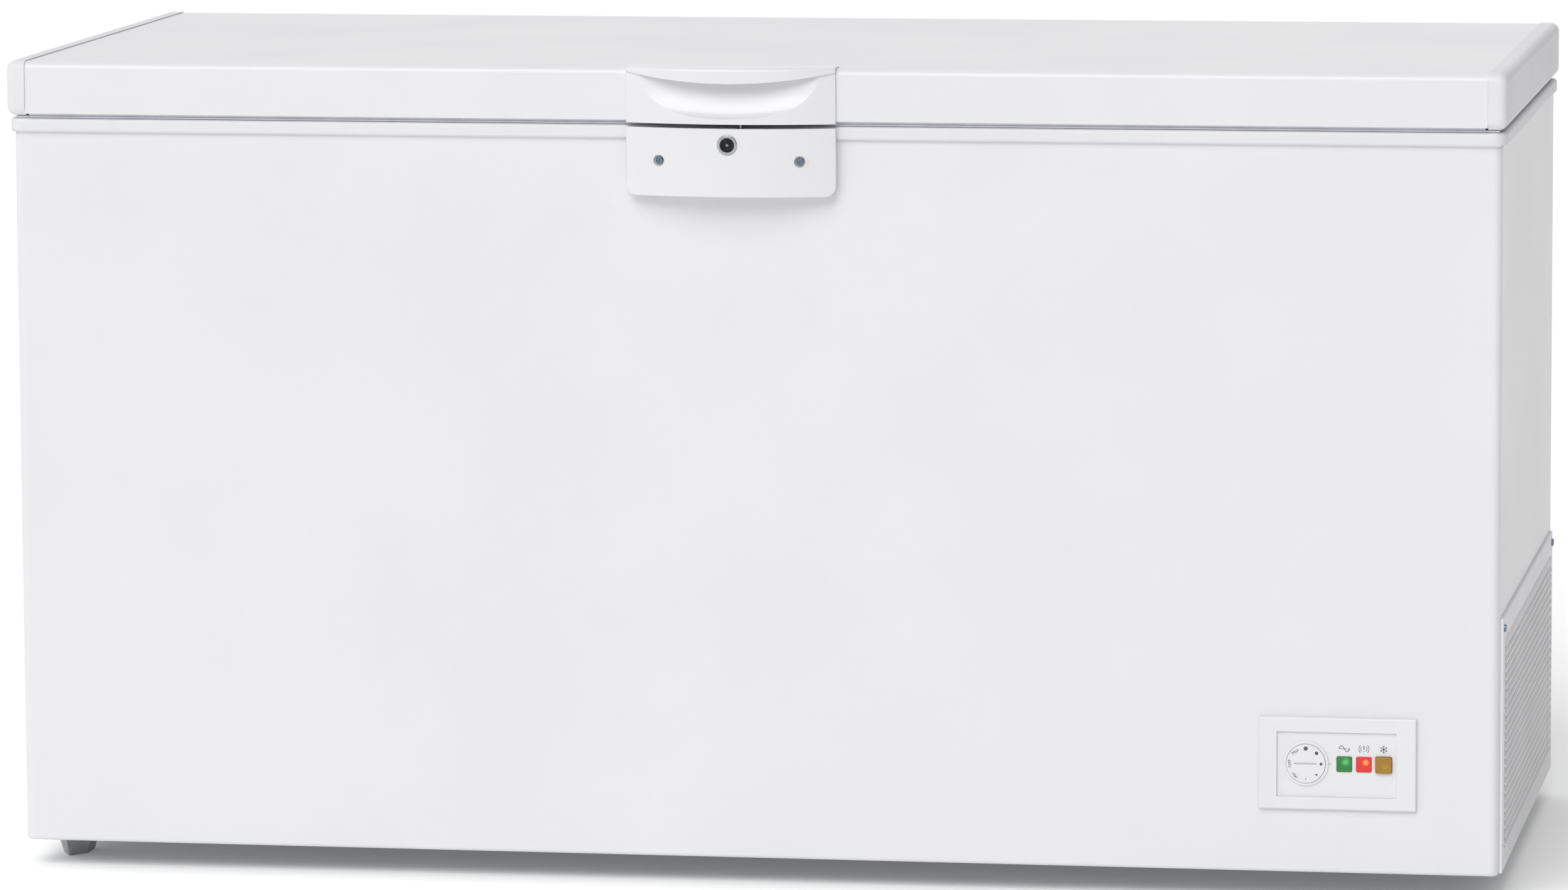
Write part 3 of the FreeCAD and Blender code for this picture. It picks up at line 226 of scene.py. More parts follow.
@dataclass(frozen=True)
class LampLens:
    """Clear coloured polycarbonate over a lit lamp: a bright spot that fades towards the edges."""

    name: str
    colour: str
    glow: str
    spot: Point                     # the lit spot on the lens, in metres
    reach_mm: float
    strength: float
    prism_mm: float = 1.1           # size of the moulded prisms behind the lens

    def material(self) -> bpy.types.Material:
        """Builds the lens material.

        Returns:
            The material.
        """
        material, tree, output = new_material(self.name)
        place = add_node(tree, "ShaderNodeTexCoord")
        away = add_node(tree, "ShaderNodeVectorMath", {"operation": "DISTANCE"}, {"0": (place, "Object")})
        away.inputs[1].default_value = self.spot
        fade = add_node(tree, "ShaderNodeMapRange", {"interpolation_type": "SMOOTHSTEP", "From Min": 0.0,
                                                     "From Max": self.reach_mm * MM, "To Min": self.strength,
                                                     "To Max": 0.02}, {"Value": (away, "Value")})
        prisms = add_node(tree, "ShaderNodeTexVoronoi", {"Scale": 1 / (self.prism_mm * MM)},
                          {"Vector": (place, "Object")})
        bump = add_node(tree, "ShaderNodeBump", {"Strength": 0.25, "Distance": 0.1 * MM},
                        {"Height": (prisms, "Distance")})
        share = add_node(tree, "ShaderNodeMapRange", {"To Max": 0.12}, {"Value": (prisms, "Distance")})
        mix = add_node(tree, "ShaderNodeMix", {"data_type": "RGBA"}, {"Factor": (share, "Result")})
        mix.inputs[6].default_value = linear(self.colour)
        mix.inputs[7].default_value = linear(self.glow)
        shader = add_node(tree, "ShaderNodeBsdfPrincipled", {"Roughness": 0.16, "IOR": 1.58,
                                                             "Emission Color": linear(self.glow)},
                          {"Base Color": (mix, "2"), "Emission Strength": (fade, "Result"),
                           "Normal": (bump, "Normal")})
        tree.links.new(shader.outputs["BSDF"], output.inputs["Surface"])
        return material


@dataclass(frozen=True)
class ClearMoulding:
    """Clear moulded plastic or glass with pressed ribs."""

    name: str
    colour: str
    rib_mm: float
    roughness: float

    def material(self) -> bpy.types.Material:
        """Builds the clear material.

        Returns:
            The material.
        """
        material, tree, output = new_material(self.name)
        place = add_node(tree, "ShaderNodeTexCoord")
        ribs = add_node(tree, "ShaderNodeTexWave", {"Scale": 1 / (self.rib_mm * MM) / 20, "Distortion": 0.2},
                        {"Vector": (place, "Object")})
        bump = add_node(tree, "ShaderNodeBump", {"Strength": 0.5, "Distance": 0.3 * MM},
                        {"Height": (ribs, "Fac")})
        shader = add_node(tree, "ShaderNodeBsdfPrincipled",
                          {"Base Color": linear(self.colour), "Roughness": self.roughness, "IOR": 1.49,
                           "Transmission Weight": 0.85},
                          {"Normal": (bump, "Normal")})
        tree.links.new(shader.outputs["BSDF"], output.inputs["Surface"])
        return material


# Oven-cured polyester paint on steel: a faint orange peel and soft gloss.
PAINT = Finish("polyester_paint", "E0E0E2", "DDDDE0", 0.34,
               Texture.ORANGE_PEEL, 2.6, 0.006, coat=0.05, edge_mm=0.8)
# Gloss ABS from a polished mould: nearly smooth, with a slightly cooler tone.
GLOSS_ABS = Finish("gloss_abs", "E0E0E2", "DDDDE0", 0.26,
                   Texture.MOULDED, 3.5, 0.004, ior=1.5, coat=0.08, edge_mm=0.9)
# Lid caps and collar from the same ABS, out of a duller mould.
COLLAR_ABS = Finish("collar_abs", "DEDEE0", "DADADD", 0.46,
                    Texture.MOULDED, 2.4, 0.006, ior=1.45, edge_mm=0.9)
# Satin ABS from a fine spark-eroded mould, drawn coarser than life so that it shows.
SATIN_ABS = Finish("satin_abs", "E1E1E3", "DCDCDF", 0.42, Texture.MOULDED, 0.9, 0.010, ior=1.54, edge_mm=0.7)
# Grille polypropylene, a little greyer and more matte in life; its colour is set lighter than the other
# whites, painted light that offsets the shade between the louvres.
GRILLE_PP = Finish("grille_polypropylene", "ECECEE", "E6E6E9", 0.48, Texture.MOULDED, 1.0, 0.012, edge_mm=0.5)
# Grey glass-filled nylon of feet and spacers: cloudy and matte.
GREY_NYLON = Finish("grey_nylon", "A9A9AC", "96969A", 0.55,
                    Texture.MOULDED, 0.8, 0.02, ior=1.53, edge_mm=0.6, cloud_mm=12)
# Black ABS of housings behind the panels.
BLACK_ABS = Finish("black_abs", "1C1C1E", "26262A", 0.5, Texture.MOULDED, 0.8, 0.02, edge_mm=0.4, cloud_mm=15)
# Hot-dip galvanised sheet: spangles about 9 mm across.
GALVANISED = Finish("galvanised_sheet", "B2B5B8", "A8ACB0", 0.42,
                    Texture.SPANGLE, 9.0, 0.01, metallic=1.0, cloud_mm=60)
# Bright zinc plate on screws and pins: bluish, finely brushed by tumbling.
ZINC_PLATE = Finish("bright_zinc_plate", "8F99A5", "6C7682", 0.30,
                    Texture.BRUSHED, 0.25, 0.004, metallic=1.0, cloud_mm=4)
# Decorative chrome plate on die-cast zinc.
CHROME = Finish("chrome_plate", "B9BBBF", "A6A9AD", 0.09,
                Texture.BRUSHED, 0.4, 0.001, metallic=1.0, edge_mm=0.3, cloud_mm=10)
# Blackened die-cast barrel with the wear of keys.
BARREL = Finish("blackened_zinc", "3A3B3E", "2A2B2E", 0.36,
                Texture.BRUSHED, 0.3, 0.006, metallic=1.0, edge_mm=0.2, cloud_mm=3)
# Drawn spring wire.
SPRING_WIRE = Finish("drawn_spring_wire", "8E9094", "77797D", 0.3,
                     Texture.BRUSHED, 0.3, 0.004, metallic=1.0, cloud_mm=6)
# Stucco-embossed enamelled aluminium liner: pebbles about 5 mm across.
LINER = Finish("stucco_enamel", "EEF0F1", "E6E8EA", 0.30, Texture.STUCCO, 5.0, 0.35, coat=0.3, cloud_mm=200)
# Vacuum-formed polystyrene of the lid's inside.
LID_LINER = Finish("formed_polystyrene", "EFF0F2", "E9EAED", 0.34,
                   Texture.ORANGE_PEEL, 4.0, 0.02, ior=1.59, edge_mm=1.0)
# Rigid polyurethane foam with fine cells.
FOAM = Finish("polyurethane_foam", "E3D3A0", "CDBA84", 0.9, Texture.CELLS, 1.2, 0.25, cloud_mm=40)
# Soft-annealed copper tube, slightly tarnished.
COPPER = Finish("annealed_copper", "B8734C", "8C5238", 0.34,
                Texture.BRUSHED, 0.5, 0.006, metallic=1.0, cloud_mm=25)
# Mill-finish aluminium tube.
ALUMINIUM = Finish("mill_aluminium", "C3C5C9", "AFB2B7", 0.32,
                   Texture.BRUSHED, 0.4, 0.006, metallic=1.0, cloud_mm=30)
# Semi-gloss stoved black on the compressor shell.
COMPRESSOR_BLACK = Finish("stoved_black", "18181A", "222225", 0.32,
                          Texture.ORANGE_PEEL, 2.0, 0.03, edge_mm=0.6, cloud_mm=40)
# Moulded black rubber with a dusty bloom.
RUBBER = Finish("moulded_rubber", "1A1A1B", "2B2B2D", 0.7,
                Texture.MOULDED, 0.8, 0.03, ior=1.52, edge_mm=0.3, cloud_mm=12)
# Soft PVC of the magnetic gasket: lilac grey.
GASKET_PVC = Finish("soft_pvc", "D6D6DE", "C9C9D2", 0.5,
                    Texture.MOULDED, 1.4, 0.02, ior=1.53, edge_mm=0.3, cloud_mm=30)
# White epoxy dipped over steel wire: thick and glossy.
WIRE_EPOXY = Finish("epoxy_dip", "F0F0F1", "E7E7E9", 0.24,
                    Texture.ORANGE_PEEL, 1.8, 0.02, coat=0.4, cloud_mm=25)
# Grey pad-printing ink.
PRINT_INK = Finish("printing_ink", "5A5B60", "4C4D52", 0.5, Texture.MOULDED, 0.5, 0.004, cloud_mm=4)

FINISH_OF: Dict[Finish, Tuple[str, ...]] = {
    PAINT: ("outer_wrapper", "lid_sheet"),
    GLOSS_ABS: ("lock_panel", "lid_handle"),
    COLLAR_ABS: ("lid_end_cap_left", "lid_end_cap_right", "collar_frame"),
    SATIN_ABS: ("control_bezel", "control_plate", "thermostat_dial", "drain_tube", "lamp_base"),
    GRILLE_PP: ("side_grille",),
    GREY_NYLON: ("feet", "rear_spacers", "drain_plug"),
    BLACK_ABS: ("indicator_housing", "thermostat_body", "relay_box"),
    GALVANISED: ("rear_panel", "base_pan", "compressor_tray", "hinge_cabinet_leaves", "hinge_lid_leaves",
                 "lock_cam", "latch_tongue"),
    ZINC_PLATE: ("lock_panel_screws", "grille_screws", "hinge_pins", "hinge_cabinet_screws",
                 "hinge_lid_screws"),
    CHROME: ("lock_escutcheon",),
    BARREL: ("lock_barrel",),
    SPRING_WIRE: ("button_spring", "hinge_springs"),
    LINER: ("inner_liner",),
    LID_LINER: ("lid_liner",),
    FOAM: ("insulation", "lid_insulation"),
    COPPER: ("condenser_coil", "sensor_tube", "refrigerant_pipes", "filter_drier"),
    ALUMINIUM: ("evaporator_coil",),
    COMPRESSOR_BLACK: ("compressor",),
    RUBBER: ("compressor_mounts", "cord_gland"),
    GASKET_PVC: ("lid_gasket",),
    WIRE_EPOXY: ("basket_left", "basket_right"),
}


# ---------------------------------------------------------------- modelling helpers
def deselect() -> None:
    """Leaves edit mode and clears the selection."""
    if bpy.context.object and bpy.context.object.mode != "OBJECT":
        bpy.ops.object.mode_set(mode="OBJECT")
    bpy.ops.object.select_all(action="DESELECT")


def activate(thing: bpy.types.Object) -> bpy.types.Object:
    """Makes a piece the only selected and active one.

    Args:
        thing: the piece.

    Returns:
        The same piece.
    """
    deselect()
    thing.select_set(True)
    bpy.context.view_layer.objects.active = thing
    return thing


def settle(thing: bpy.types.Object, name: str, angle: float = 35.0) -> bpy.types.Object:
    """Names a finished piece, puts its place into its mesh, merges doubles and turns faces outwards.

    Args:
        thing: the piece.
        name: its name.
        angle: edges sharper than this stay sharp, in degrees.

    Returns:
        The same piece.
    """
    activate(thing)
    thing.name = name
    thing.data.name = name
    bpy.ops.object.transform_apply(location=True, rotation=True, scale=True)
    bpy.ops.object.mode_set(mode="EDIT")
    bpy.ops.mesh.select_all(action="SELECT")
    bpy.ops.mesh.remove_doubles(threshold=0.01 * MM)
    bpy.ops.mesh.normals_make_consistent(inside=False)
    bpy.ops.object.mode_set(mode="OBJECT")
    bpy.ops.object.shade_smooth_by_angle(angle=math.radians(angle))
    return thing


def apply_modifier(thing: bpy.types.Object, kind: str, **settings: object) -> None:
    """Adds a modifier with settings and applies it.

    Args:
        thing: the piece.
        kind: the modifier's type.
        settings: its properties.
    """
    activate(thing)
    modifier = thing.modifiers.new(kind.lower(), kind)
    for key, value in settings.items():
        setattr(modifier, key, value)
    bpy.ops.object.modifier_apply(modifier=modifier.name)


def join(things: Sequence[bpy.types.Object], name: str) -> bpy.types.Object:
    """Joins pieces into one mesh.

    Args:
        things: the pieces.
        name: the joined piece's name.

    Returns:
        The joined piece.
    """
    activate(things[0])
    for thing in things[1:]:
        thing.select_set(True)
    bpy.ops.object.join()
    return settle(things[0], name)


def dress(thing: bpy.types.Object, body: str, finish: Finish) -> bpy.types.Object:
    """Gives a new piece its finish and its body.

    Args:
        thing: the piece.
        body: CAD body that it moves with.
        finish: its finish.

    Returns:
        The same piece.
    """
    thing.data.materials.clear()
    thing.data.materials.append(finish.material())
    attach(thing, body)
    return thing


def wire(points: Sequence[Point], radius: float, bend: float, closed: bool = False) -> bpy.types.Object:
    """Draws a round wire: a circle extruded along straight runs and spun round each bend.

    Args:
        points: corners of the wire's centre line, in metres.
        radius: the wire's radius.
        bend: radius of the bends.
        closed: whether the wire is a hoop, which then starts in the middle of its first run.

    Returns:
        The wire.
    """
    corners = [Vector(p) for p in points]
    if closed:
        start = (corners[0] + corners[1]) / 2
        corners = [start] + corners[1:] + [corners[0], start]
    ahead = (corners[1] - corners[0]).normalized()
    deselect()
    bpy.ops.mesh.primitive_circle_add(vertices=8, radius=radius, location=corners[0],
                                      rotation=ahead.to_track_quat("Z", "Y").to_euler())
    thing = bpy.context.object
    bpy.ops.object.transform_apply(location=True, rotation=True, scale=True)
    bpy.ops.object.mode_set(mode="EDIT")
    bpy.ops.mesh.select_all(action="SELECT")
    here = corners[0]
    for i in range(1, len(corners)):
        ahead = (corners[i] - corners[i - 1]).normalized()
        last = i == len(corners) - 1
        after = None if last else (corners[i + 1] - corners[i]).normalized()
        turn = 0.0 if last else ahead.angle(after)
        cut = 0.0 if last else bend * math.tan(turn / 2)
        step = corners[i] - ahead * cut - here
        bpy.ops.mesh.extrude_edges_move(TRANSFORM_OT_translate={"value": step})
        here = here + step
        if not last and turn > 0.01:
            axis = ahead.cross(after).normalized()
            centre = here + axis.cross(ahead) * bend
            bpy.ops.mesh.spin(steps=4, angle=turn, center=centre, axis=axis)
            here = corners[i] + after * cut
    bpy.ops.object.mode_set(mode="OBJECT")
    return thing


# ---------------------------------------------------------------- sub-assemblies
@dataclass
class Cabinet:
    """Dresses the CAD nodes, whose shapes are already right."""

    frame: Dict[str, object]

    def dress_nodes(self) -> None:
        """Gives each CAD node its finish."""
        nodes = self.frame["nodes"]
        for finish, names in FINISH_OF.items():
            for name in names:
                mesh = nodes[name].data
                mesh.materials.clear()
                mesh.materials.append(finish.material())
            log.info("%s: %s", finish.name, ", ".join(names))

    def dress_lamps(self) -> None:
        """Gives the lamp lenses, the amber button and the lid's lamp their clear plastics."""
        nodes = self.frame["nodes"]
        looks = (
            ("green_lamp_lens", "0C6A26", "5CE07C", (1.5, 2.4), 5.5, 0.55),
            ("red_lamp_lens", "D40A03", "FF8A50", (2.0, 2.2), 4.2, 1.7),
            ("fast_freeze_button", "986B00", "D9A520", (2.5, -2.0), 5.0, 0.16),
        )
        for name, colour, glow, offset, reach, strength in looks:
            low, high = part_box(name)
            spot = ((low.x + high.x) / 2 + offset[0] * MM, low.y, (low.z + high.z) / 2 + offset[1] * MM)
            lens = LampLens(name + "_plastic", colour, glow, spot, reach, strength)
            nodes[name].data.materials.clear()
            nodes[name].data.materials.append(lens.material())
        for name, clear in (("lamp_cover", ClearMoulding("ribbed_acrylic", "F2F4F4", 4.0, 0.12)),
                            ("lamp_bulb", ClearMoulding("lamp_glass_clear", "F4F2EA", 30.0, 0.03))):
            nodes[name].data.materials.clear()
            nodes[name].data.materials.append(clear.material())
        log.info("lamp lenses, button and lid lamp")


@dataclass
class WireBasket:
    """Hanging basket of epoxy-coated wire, which stands for the closed envelope of its CAD node."""

    node: str
    body: str
    rim_radius: float = 2.5 * MM
    wire_radius: float = 1.5 * MM
    corner: float = 16.0 * MM
    hook_reach: float = 16.0 * MM   # the hooks stand out past the basket's own walls
    hook_inset: float = 40.0 * MM   # from the basket's ends
    hook_half: float = 2.7 * MM
    cross_wires: int = 9
    hoop_heights: Tuple[float, ...] = (0.045, 0.085, 0.125, 0.165)
    floor_wires: int = 16

    def row(self, low: float, high: float, count: int) -> Tuple[float, float]:
        """Spreads wires evenly between the basket's corners.

        Args:
            low: one side of the basket.
            high: the other side.
            count: number of wires.

        Returns:
            The first wire's place and the spacing.
        """
        return low + self.corner, (high - low - 2 * self.corner) / (count - 1)

    def repeat(self, one: bpy.types.Object, count: int, step: Point) -> bpy.types.Object:
        """Copies a wire in a row.

        Args:
            one: the first wire.
            count: number of wires.
            step: from one to the next.

        Returns:
            The row of wires.
        """
        apply_modifier(one, "ARRAY", count=count, use_relative_offset=False, use_constant_offset=True,
                       constant_offset_displace=step)
        return one

    def build(self) -> bpy.types.Object:
        """Models the rim, hoops, cross wires, floor wires and hooks.

        Returns:
            The basket.
        """
        low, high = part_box(self.node)
        x0, x1 = low.x + self.rim_radius, high.x - self.rim_radius
        y0, y1 = low.y + self.hook_reach + self.rim_radius, high.y - self.hook_reach - self.rim_radius
        z0, z1 = low.z + self.wire_radius, high.z - self.rim_radius
        parts: List[bpy.types.Object] = []
        rim = ((x0, y0, z1), (x1, y0, z1), (x1, y1, z1), (x0, y1, z1))
        parts.append(wire(rim, self.rim_radius, self.corner, closed=True))
        top = z1 - (self.rim_radius + self.wire_radius) * 0.3
        for height in self.hoop_heights:
            z = z0 + height
            hoop = ((x0, y0, z), (x1, y0, z), (x1, y1, z), (x0, y1, z))
            parts.append(wire(hoop, self.wire_radius, self.corner, closed=True))
        inner = self.wire_radius * 1.9
        start, pitch = self.row(x0, x1, self.cross_wires)
        low_z = z0 + inner
        cross = wire(((start, y0 + inner, top), (start, y0 + inner, low_z), (start, y1 - inner, low_z),
                      (start, y1 - inner, top)), self.wire_radius, self.corner * 0.9)
        parts.append(self.repeat(cross, self.cross_wires, (pitch, 0, 0)))
        start, pitch = self.row(y0, y1, self.floor_wires)
        along = wire(((x0 + inner, start, top), (x0 + inner, start, z0), (x1 - inner, start, z0),
                      (x1 - inner, start, top)), self.wire_radius, self.corner * 0.9)
        parts.append(self.repeat(along, self.floor_wires, (0, pitch, 0)))
        for x in (low.x + self.hook_inset, high.x - self.hook_inset):
            for edge, out in ((y0, low.y), (y1, high.y)):
                tip = out + (self.rim_radius if out < edge else -self.rim_radius)
                left, right = x - self.hook_half, x + self.hook_half
                parts.append(wire(((left, edge, z1), (left, tip, z1), (right, tip, z1), (right, edge, z1)),
                                  self.wire_radius * 0.8, 1.5 * MM))
        basket = join(parts, self.body + "_wires")
        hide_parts(self.node)
        dress(basket, self.body, WIRE_EPOXY)
        log.info("%s", basket.name)
        return basket


@dataclass
class LockPost:
    """Bright end of the tubular lock's centre post."""

    radius: float = 1.7 * MM
    depth: float = 0.7 * MM
    sunk: float = 0.3 * MM          # its middle lies this far behind the barrel's face
    rounding: float = 0.35 * MM

    def build(self) -> bpy.types.Object:
        """Models the post's domed end in the middle of the barrel.

        Returns:
            The post end.
        """
        low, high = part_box("lock_escutcheon")
        middle = (low + high) / 2
        middle.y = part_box("lock_barrel")[0].y + self.sunk
        deselect()
        bpy.ops.mesh.primitive_cylinder_add(vertices=32, radius=self.radius, depth=self.depth,
                                            location=middle,
                                            rotation=(math.radians(90), 0, 0))
        post = bpy.context.object
        apply_modifier(post, "BEVEL", width=self.rounding, segments=3)
        settle(post, "lock_post")
        dress(post, "key_lock", ZINC_PLATE)
        log.info("lock_post")
        return post


@dataclass
class BellowsGasket:
    """Magnetic door gasket: a square-cornered bellows of soft PVC that replaces the plain CAD ring."""

    # corners of its section in mm: inset at the front and rear, inset at the ends, rise
    section: Tuple[Point, ...] = (
        (0.8, 0.8, 0.0), (0.0, 0.0, 0.5), (0.0, 0.0, 1.6), (1.2, 1.0, 2.3), (1.2, 15.2, 2.5),
        (0.1, 14.1, 3.3), (0.0, 14.0, 4.2), (0.6, 14.6, 4.6), (7.0, 21.0, 4.6), (7.2, 21.2, 5.8),
        (22.4, 36.8, 5.8), (22.0, 36.4, 4.4), (20.0, 34.4, 2.6), (22.0, 36.4, 0.7), (21.6, 36.0, 0.0))

    def build(self) -> bpy.types.Object:
        """Models the gasket as nested rectangular loops joined into a closed section.

        Returns:
            The gasket.
        """
        low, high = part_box("lid_gasket")
        size = high - low
        middle = (low + high) / 2
        stretch = size.z / max(rise for _, _, rise in self.section)
        deselect()
        bpy.ops.mesh.primitive_plane_add(size=1.0, location=(middle.x, middle.y, low.z))
        gasket = bpy.context.object
        loops = [(size.x - 2 * end * MM, size.y - 2 * front * MM, rise * stretch)
                 for front, end, rise in self.section]
        gasket.scale = (loops[0][0], loops[0][1], 1.0)
        bpy.ops.object.transform_apply(location=True, rotation=True, scale=True)
        bpy.ops.object.mode_set(mode="EDIT")
        bpy.ops.mesh.select_all(action="SELECT")
        bpy.ops.mesh.delete(type="ONLY_FACE")
        bpy.ops.mesh.select_all(action="SELECT")
        for now, after in zip(loops, loops[1:] + loops[:1]):
            bpy.ops.mesh.extrude_edges_move(TRANSFORM_OT_translate={"value": (0, 0, after[2] - now[2])})
            bpy.ops.transform.resize(value=(after[0] / now[0], after[1] / now[1], 1.0),
                                     center_override=(middle.x, middle.y, low.z))
        bpy.ops.object.mode_set(mode="OBJECT")
        settle(gasket, "gasket_bellows", angle=20.0)
        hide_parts("lid_gasket")
        dress(gasket, "lid", GASKET_PVC)
        log.info("gasket_bellows")
        return gasket


class Mark(Enum):
    """Printed marks above the lamps."""

    POWER = "power"
    ALARM = "alarm"
    SNOWFLAKE = "snowflake"


@dataclass
class PanelPrint:
    """Dots and words round the thermostat dial, and the icons over the lamps, printed in grey."""

    dial: Tuple[float, float] = (0.5758, 0.1413)
    mark_ring: float = 15.7 * MM
    word_ring: float = 16.3 * MM
    index_ring: float = 24.9 * MM
    letter_height: float = 4.7 * MM
    dots: Tuple[Tuple[float, float], ...] = ((-90, 0.6), (-45, 1.05), (0, 1.5), (45, 1.85), (90, 2.2))
    words: Tuple[Tuple[float, str], ...] = ((131, "Max"), (180, "OFF"), (227, "Min"))
    plate_proud: float = 2.8 * MM   # the control plate's face, in front of the cabinet's
    icon_height: float = 0.1573
    lamp_x: Tuple[float, ...] = (0.615, 0.635, 0.6552)
    icon_halves: Tuple[float, ...] = (5.6, 5.2, 4.0)
    line: float = 0.55 * MM
    thickness: float = 0.12 * MM

    def front(self, node: str) -> float:
        """Front face of a node, as a y coordinate."""
        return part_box(node)[0].y

    def on_ring(self, degrees: float, radius: float) -> Tuple[float, float]:
        """A place round the dial's centre.

        Args:
            degrees: angle from the right, anticlockwise.
            radius: distance from the centre.

        Returns:
            The place as x and z.
        """
        a = math.radians(degrees)
        return self.dial[0] + radius * math.cos(a), self.dial[1] + radius * math.sin(a)

    def stamp(self, thing: bpy.types.Object, x: float, z: float, y: float,
              turn: float = 0.0) -> bpy.types.Object:
        """Stands a flat shape up on the panel and gives it a thin body.

        Args:
            thing: flat mesh in the x-y plane, centred on its origin.
            x: place along the panel.
            z: height.
            y: the face that it is printed on.
            turn: turn in the panel's plane, in degrees, anticlockwise.

        Returns:
            The same piece.
        """
        activate(thing)
        place = Matrix.Translation((x, y - self.thickness * 0.4, z))
        stand = Matrix.Rotation(math.radians(90), 4, "X")
        thing.matrix_world = place @ stand @ Matrix.Rotation(math.radians(turn), 4, "Z")
        bpy.ops.object.transform_apply(location=True, rotation=True, scale=True)
        apply_modifier(thing, "SOLIDIFY", thickness=self.thickness, offset=0.0)
        return thing

    def word(self, text: str, size: float) -> bpy.types.Object:
        """Makes a word as a flat mesh centred on its origin.

        Args:
            text: the word.
            size: letter height in metres.

        Returns:
            The mesh.
        """
        deselect()
        bpy.ops.object.text_add()
        thing = bpy.context.object
        thing.data.body = text
        thing.data.size = size
        thing.data.align_x = "CENTER"
        thing.data.align_y = "CENTER"
        bpy.ops.object.convert(target="MESH")
        return bpy.context.object

    def dot(self, radius: float, sides: int = 20) -> bpy.types.Object:
        """Makes a flat disc centred on its origin.

        Args:
            radius: its radius.
            sides: number of its edges.

        Returns:
            The flat mesh.
        """
        deselect()
        bpy.ops.mesh.primitive_circle_add(vertices=sides, radius=radius, fill_type="NGON")
        return bpy.context.object

    def stroke(self, points: Sequence[Tuple[float, float]], width: float) -> bpy.types.Object:
        """Draws a line of constant width in the x-y plane.

        Args:
            points: the line's points in metres.
            width: its width.

        Returns:
            The flat mesh.
        """
        deselect()
        bpy.ops.mesh.primitive_plane_add(size=1.0)
        thing = bpy.context.object
        ahead = [Vector(b) - Vector(a) for a, b in zip(points, points[1:])]
        sides = []
        for i, point in enumerate(points):
            before, after = ahead[max(0, i - 1)], ahead[min(i, len(ahead) - 1)]
            direction = (before.normalized() + after.normalized()).normalized()
            sides.append((Vector(point), Vector((-direction.y, direction.x)) * width / 2))
        corners = [sides[0][0] - sides[0][1], sides[0][0] + sides[0][1]]
        bpy.ops.object.mode_set(mode="EDIT")
        bpy.ops.mesh.select_all(action="SELECT")
        bpy.ops.mesh.delete(type="ONLY_FACE")
        bpy.ops.object.mode_set(mode="OBJECT")
        mesh = thing.data
        for i, vertex in enumerate(mesh.vertices):
            vertex.co = (*corners[i % 2], 0.0)
        bpy.ops.object.mode_set(mode="EDIT")
        bpy.ops.mesh.select_all(action="SELECT")
        bpy.ops.mesh.remove_doubles(threshold=1e-7)
        for (point, side), (after, next_side) in zip(sides, sides[1:]):
            bpy.ops.mesh.extrude_edges_move(TRANSFORM_OT_translate={"value": (*(after - point), 0.0)})
            bpy.ops.object.mode_set(mode="OBJECT")
            chosen = [v for v in mesh.vertices if v.select]
            for v in chosen:
                on_left = (Vector(v.co[:2]) - after).dot(side) > 0
                v.co = (*(after + (next_side if on_left else -next_side)), 0.0)
            bpy.ops.object.mode_set(mode="EDIT")
        bpy.ops.object.mode_set(mode="OBJECT")
        return thing

    def icon(self, mark: Mark, size: float) -> List[bpy.types.Object]:
        """Draws one icon round the origin.

        Args:
            mark: which icon.
            size: half its width in metres.

        Returns:
            Its flat strokes.
        """
        thin = self.line
        if mark is Mark.POWER:
            steps = 12
            wave = [(size * (t / steps * 2 - 1), size * 0.55 * math.sin(2 * math.pi * t / steps))
                    for t in range(steps + 1)]
            return [self.stroke(wave, thin * 1.25), self.stroke(((-size, 0.0), (size, 0.0)), thin * 0.8)]
        if mark is Mark.ALARM:
            strokes = [self.stroke(((0.0, -size * 0.15), (0.0, size * 0.62)), thin * 1.6)]
            angles = [math.radians(a) for a in range(-48, 49, 16)]
            for share, side in ((0.62, 1), (0.62, -1), (1.0, 1), (1.0, -1)):
                radius = size * share
                arc = [(side * radius * math.cos(a), radius * math.sin(a)) for a in angles]
                strokes.append(self.stroke(arc, thin))
            point = self.dot(thin * 0.9, 12)
            point.data.transform(Matrix.Translation((0.0, -size * 0.5, 0.0)))
            return strokes + [point]
        strokes = []
        for k in range(6):
            a = math.radians(60 * k + 30)
            out = Vector((math.cos(a), math.sin(a))) * size
            strokes.append(self.stroke(((0.0, 0.0), tuple(out)), thin))
            for bend in (-1, 1):
                b = a + math.radians(50 * bend)
                branch = out * 0.6
                tip = branch + Vector((math.cos(b), math.sin(b))) * size * 0.34
                strokes.append(self.stroke((tuple(branch), tuple(tip)), thin * 0.8))
        return strokes

    def build(self) -> None:
        """Prints the dots, words and icons."""
        knob = self.front("thermostat_dial")
        marks: List[bpy.types.Object] = []
        for degrees, radius in self.dots:
            x, z = self.on_ring(degrees, self.mark_ring)
            marks.append(self.stamp(self.dot(radius * MM), x, z, knob))
        for degrees, text in self.words:
            x, z = self.on_ring(degrees, self.word_ring)
            marks.append(self.stamp(self.word(text, self.letter_height), x, z, knob, degrees - 90))
        dress(join(marks, "dial_marks"), "dial", PRINT_INK)
        plate = self.front("outer_wrapper") - self.plate_proud
        index = self.stroke(((-1.3 * MM, 0.0), (1.3 * MM, 0.0)), 0.45 * MM)
        icons = [self.stamp(index, *self.on_ring(0, self.index_ring), plate)]
        for x, mark, size in zip(self.lamp_x, Mark, self.icon_halves):
            for part in self.icon(mark, size * MM):
                icons.append(self.stamp(part, x, self.icon_height, plate))
        dress(join(icons, "lamp_icons"), "cabinet", PRINT_INK)
        log.info("panel print")


